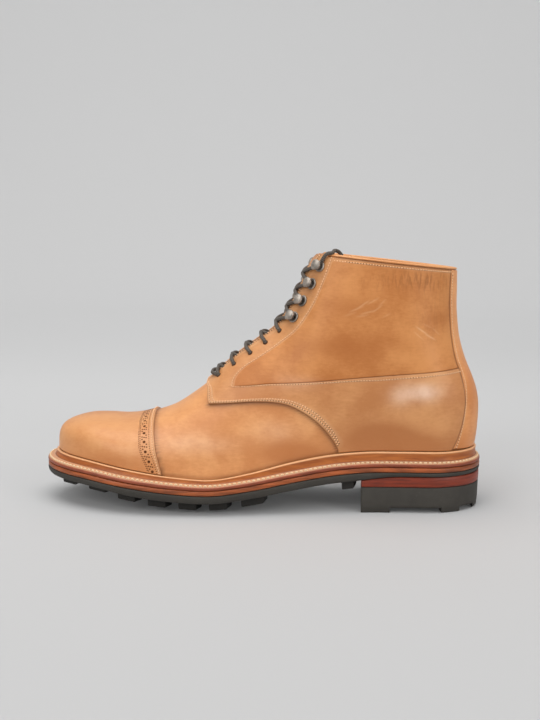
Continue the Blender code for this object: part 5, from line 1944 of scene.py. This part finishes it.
class BOOT_OT_stitches(bpy.types.Operator):
    """The seams' stitches: rows of short arched bars along the panels' edges, and the welt's heavy row"""

    bl_idname = "boot.stitches"
    bl_label = "Stitches"

    def execute(self, context):
        length = sizes().stitch
        leg = leg_grid(40, 60)
        top = leg[:, -1] + (leg[:, 0] - leg[:, -1]) * COLLAR_ROW_SHARE
        strip = strip_edge()
        v = np.linspace(lip_row(np.array([0.2]))[0] + 0.01, 0.985, 200)
        back = np.stack([v, np.interp(v, strip[:, 0], strip[:, 1]) - STRIP_ROW_TURN], axis=1)
        rows = []
        for _, outer in SIDES:
            first, second = quarter_edges(outer)
            pair = [panel_row(first, second, *row) for row in zip(QUARTER_ROWS, ((0.286, 1.0), (0.29, 0.64)))]
            pair += [panel_row(second, first, FACING_ROW, ends) for ends in ((0.0, 0.6), (0.6, 1.0))]
            turn = (1, signed(1, outer))
            rows += [(row * turn, QUARTER_THICK, row is not pair[-1]) for row in pair]
            rows += [(top * turn, LEG_THICK, True), (back * turn, STRIP_CUT, True)]
        lip, seam = cap_edges(400)
        rows.append((panel_row(seam, lip, CAP_ROW), CAP_THICK, True))
        parts = [stitch_row(row, GAP + thick + STITCH_RISE, length) for row, thick, _ in rows]
        needles = [needle_row(row, GAP + thick, length) for row, thick, pierced in rows if pierced]
        c = colours()
        add_piece("upper_stitches", *joined(parts), thread_finish("seam_thread", c.thread), "lace_cotton")
        add_piece("needle_holes", *joined(needles), hole_finish("needle_shadow", 1.3), "tan_leather")
        plan = sole_loop(SOLE_ANGLES, margin(WELT_STITCH_INSET))
        z = SOLE["edge_z"](plan[:, 0]) - sole_dip(*plan.T) + MIDSOLE_THICK + GAP + WELT_STITCH_HEIGHT
        loop = np.concatenate([plan, z[:, None]], axis=1)
        loop = np.concatenate([loop, loop[:1]])
        step = sizes().welt_stitch
        total = np.linalg.norm(np.diff(loop, axis=0), axis=1).sum()
        count = int(total / step)
        ring = resampled(loop, count + 1)[:-1]
        run = unit(np.roll(ring, -1, axis=0) - np.roll(ring, 1, axis=0))
        up = unit(np.array([[0.0, 0.0, 1.0]]) - run * run[:, 2:])
        share, radius, sink = WELT_STITCH_FORM
        stitches = capsules(ring, run, up, step * share, radius, sink)
        add_piece("welt_stitches", *stitches, thread_finish("welt_thread", c.cream), "lace_cotton")
        return {"FINISHED"}


# The paper sweep: a flat floor that bends up into a wall behind the boot, in metres
FLOOR_HALF_WIDTH = 6.0
FLOOR_FLAT_Y = (-4.0, 1.2)
FLOOR_BEND_Y = 1.6
FLOOR_BEND = 0.8
FLOOR_HEIGHT = 6.0

# Camera in metres and degrees
CAMERA_PLACE = (0.0029, -0.7097, 0.1944)
CAMERA_TILT = 7.51
CAMERA_ROLL = -0.7
CAMERA_LENS = 50.0
CAMERA_SENSOR = 36.0
WORLD_LIGHT = 0.45

# Studio lights: name, place, aim, size and power
LIGHTS = (
    ("top", (-0.15, -0.25, 1.5), (0.0, 0.0, 0.05), (1.6, 1.2), 16.0),
    ("front", (-0.9, -1.3, 0.9), (0.0, 0.0, 0.08), (0.9, 0.9), 9.0),
    ("heel", (1.0, -0.9, 0.55), (0.05, 0.0, 0.09), (0.6, 0.6), 4.0),
)


class BOOT_OT_stage(bpy.types.Operator):
    """Pale floor, soft studio light and the camera"""

    bl_idname = "boot.stage"
    bl_label = "Stage"

    def execute(self, context):
        mesh = bpy.data.meshes.new("floor")
        x = np.array([-FLOOR_HALF_WIDTH, FLOOR_HALF_WIDTH])
        bend = np.linspace(0.0, math.pi / 2, 16)
        back_y = FLOOR_BEND_Y + FLOOR_BEND
        y = np.concatenate([FLOOR_FLAT_Y, FLOOR_BEND_Y + FLOOR_BEND * np.sin(bend), [back_y]])
        z = np.concatenate([[0.0, 0.0], FLOOR_BEND - FLOOR_BEND * np.cos(bend), [FLOOR_HEIGHT]])
        points = np.stack([np.repeat(x, len(y)), np.tile(y, 2), np.tile(z, 2)], axis=1)
        quads = grid_quads(2, len(y))[:, ::-1]
        mesh.from_pydata(points.tolist(), [], quads.tolist())
        f = Finish("floor_paper")
        f.shade(
            Base_Color=f.mix(f.axis("Y").between(-0.5, 0.6), grey(0.46), grey(0.60)),
            Roughness=0.9, Specular_IOR_Level=0.1, Emission_Strength=1.0,
            Emission_Color=f.mix(f.axis("Y").between(0.1, 1.8), grey(0.035), grey(0.20)),
        )
        mesh.materials.append(f.material)
        mesh.polygons.foreach_set("use_smooth", np.ones(len(mesh.polygons), bool))
        floor = bpy.data.objects.new("floor", mesh)
        bpy.context.scene.collection.objects.link(floor)
        for name, place, aim, size, power in LIGHTS:
            data = bpy.data.lights.new(name, "AREA")
            data.shape = "RECTANGLE"
            data.size, data.size_y = size
            data.energy = power
            light = bpy.data.objects.new(name, data)
            light.location = place
            light.rotation_euler = look(place, aim)
            bpy.context.scene.collection.objects.link(light)
        world = bpy.data.worlds.new("studio")
        world.use_nodes = True
        background = world.node_tree.nodes["Background"].inputs
        background["Color"].default_value = grey(1.0)
        background["Strength"].default_value = WORLD_LIGHT
        bpy.context.scene.world = world
        bpy.context.scene.view_settings.view_transform = "Standard"
        data = bpy.data.cameras.new("camera")
        data.lens = CAMERA_LENS
        data.sensor_width = CAMERA_SENSOR
        camera = bpy.data.objects.new("camera", data)
        camera.location = CAMERA_PLACE
        camera.rotation_euler = (math.radians(90.0 - CAMERA_TILT), math.radians(CAMERA_ROLL), 0.0)
        bpy.context.scene.collection.objects.link(camera)
        bpy.context.scene.camera = camera
        return {"FINISHED"}


def look(place, aim):
    """Turn that points a light from its place to an aim."""
    dx, dy, dz = (a - p for a, p in zip(aim, place))
    return (math.atan2(math.hypot(dx, dy), -dz), 0.0, math.atan2(dy, dx) - math.pi / 2)


STEPS = (
    BOOT_OT_stage, BOOT_OT_upper, BOOT_OT_toe_cap, BOOT_OT_quarters, BOOT_OT_legs, BOOT_OT_back_strip,
    BOOT_OT_tongue, BOOT_OT_collar, BOOT_OT_insole, BOOT_OT_welt, BOOT_OT_midsole, BOOT_OT_outsole,
    BOOT_OT_heel, BOOT_OT_hooks, BOOT_OT_lace, BOOT_OT_holes, BOOT_OT_stitches,
)


class BOOT_PT_panel(bpy.types.Panel):
    """Lists the boot's pieces, colours and sizes"""

    bl_idname = "BOOT_PT_panel"
    bl_label = "Navvy boot"
    bl_space_type = "VIEW_3D"
    bl_region_type = "UI"
    bl_category = "Navvy boot"

    def draw(self, context):
        for group in (context.scene.boot_sizes, context.scene.boot_colours):
            for key in group.__annotations__:
                self.layout.prop(group, key)
        for step in STEPS:
            self.layout.operator(step.bl_idname)


CLASSES = (BootColours, BootSizes, *STEPS, BOOT_PT_panel)


def register():
    for item in CLASSES:
        bpy.utils.register_class(item)
    bpy.types.Scene.boot_colours = bpy.props.PointerProperty(type=BootColours)
    bpy.types.Scene.boot_sizes = bpy.props.PointerProperty(type=BootSizes)


def unregister():
    del bpy.types.Scene.boot_sizes
    del bpy.types.Scene.boot_colours
    for item in reversed(CLASSES):
        bpy.utils.unregister_class(item)


def main():
    register()
    for step in STEPS:
        group, name = step.bl_idname.split(".")
        getattr(getattr(bpy.ops, group), name)()


if __name__ == "__main__":
    main()
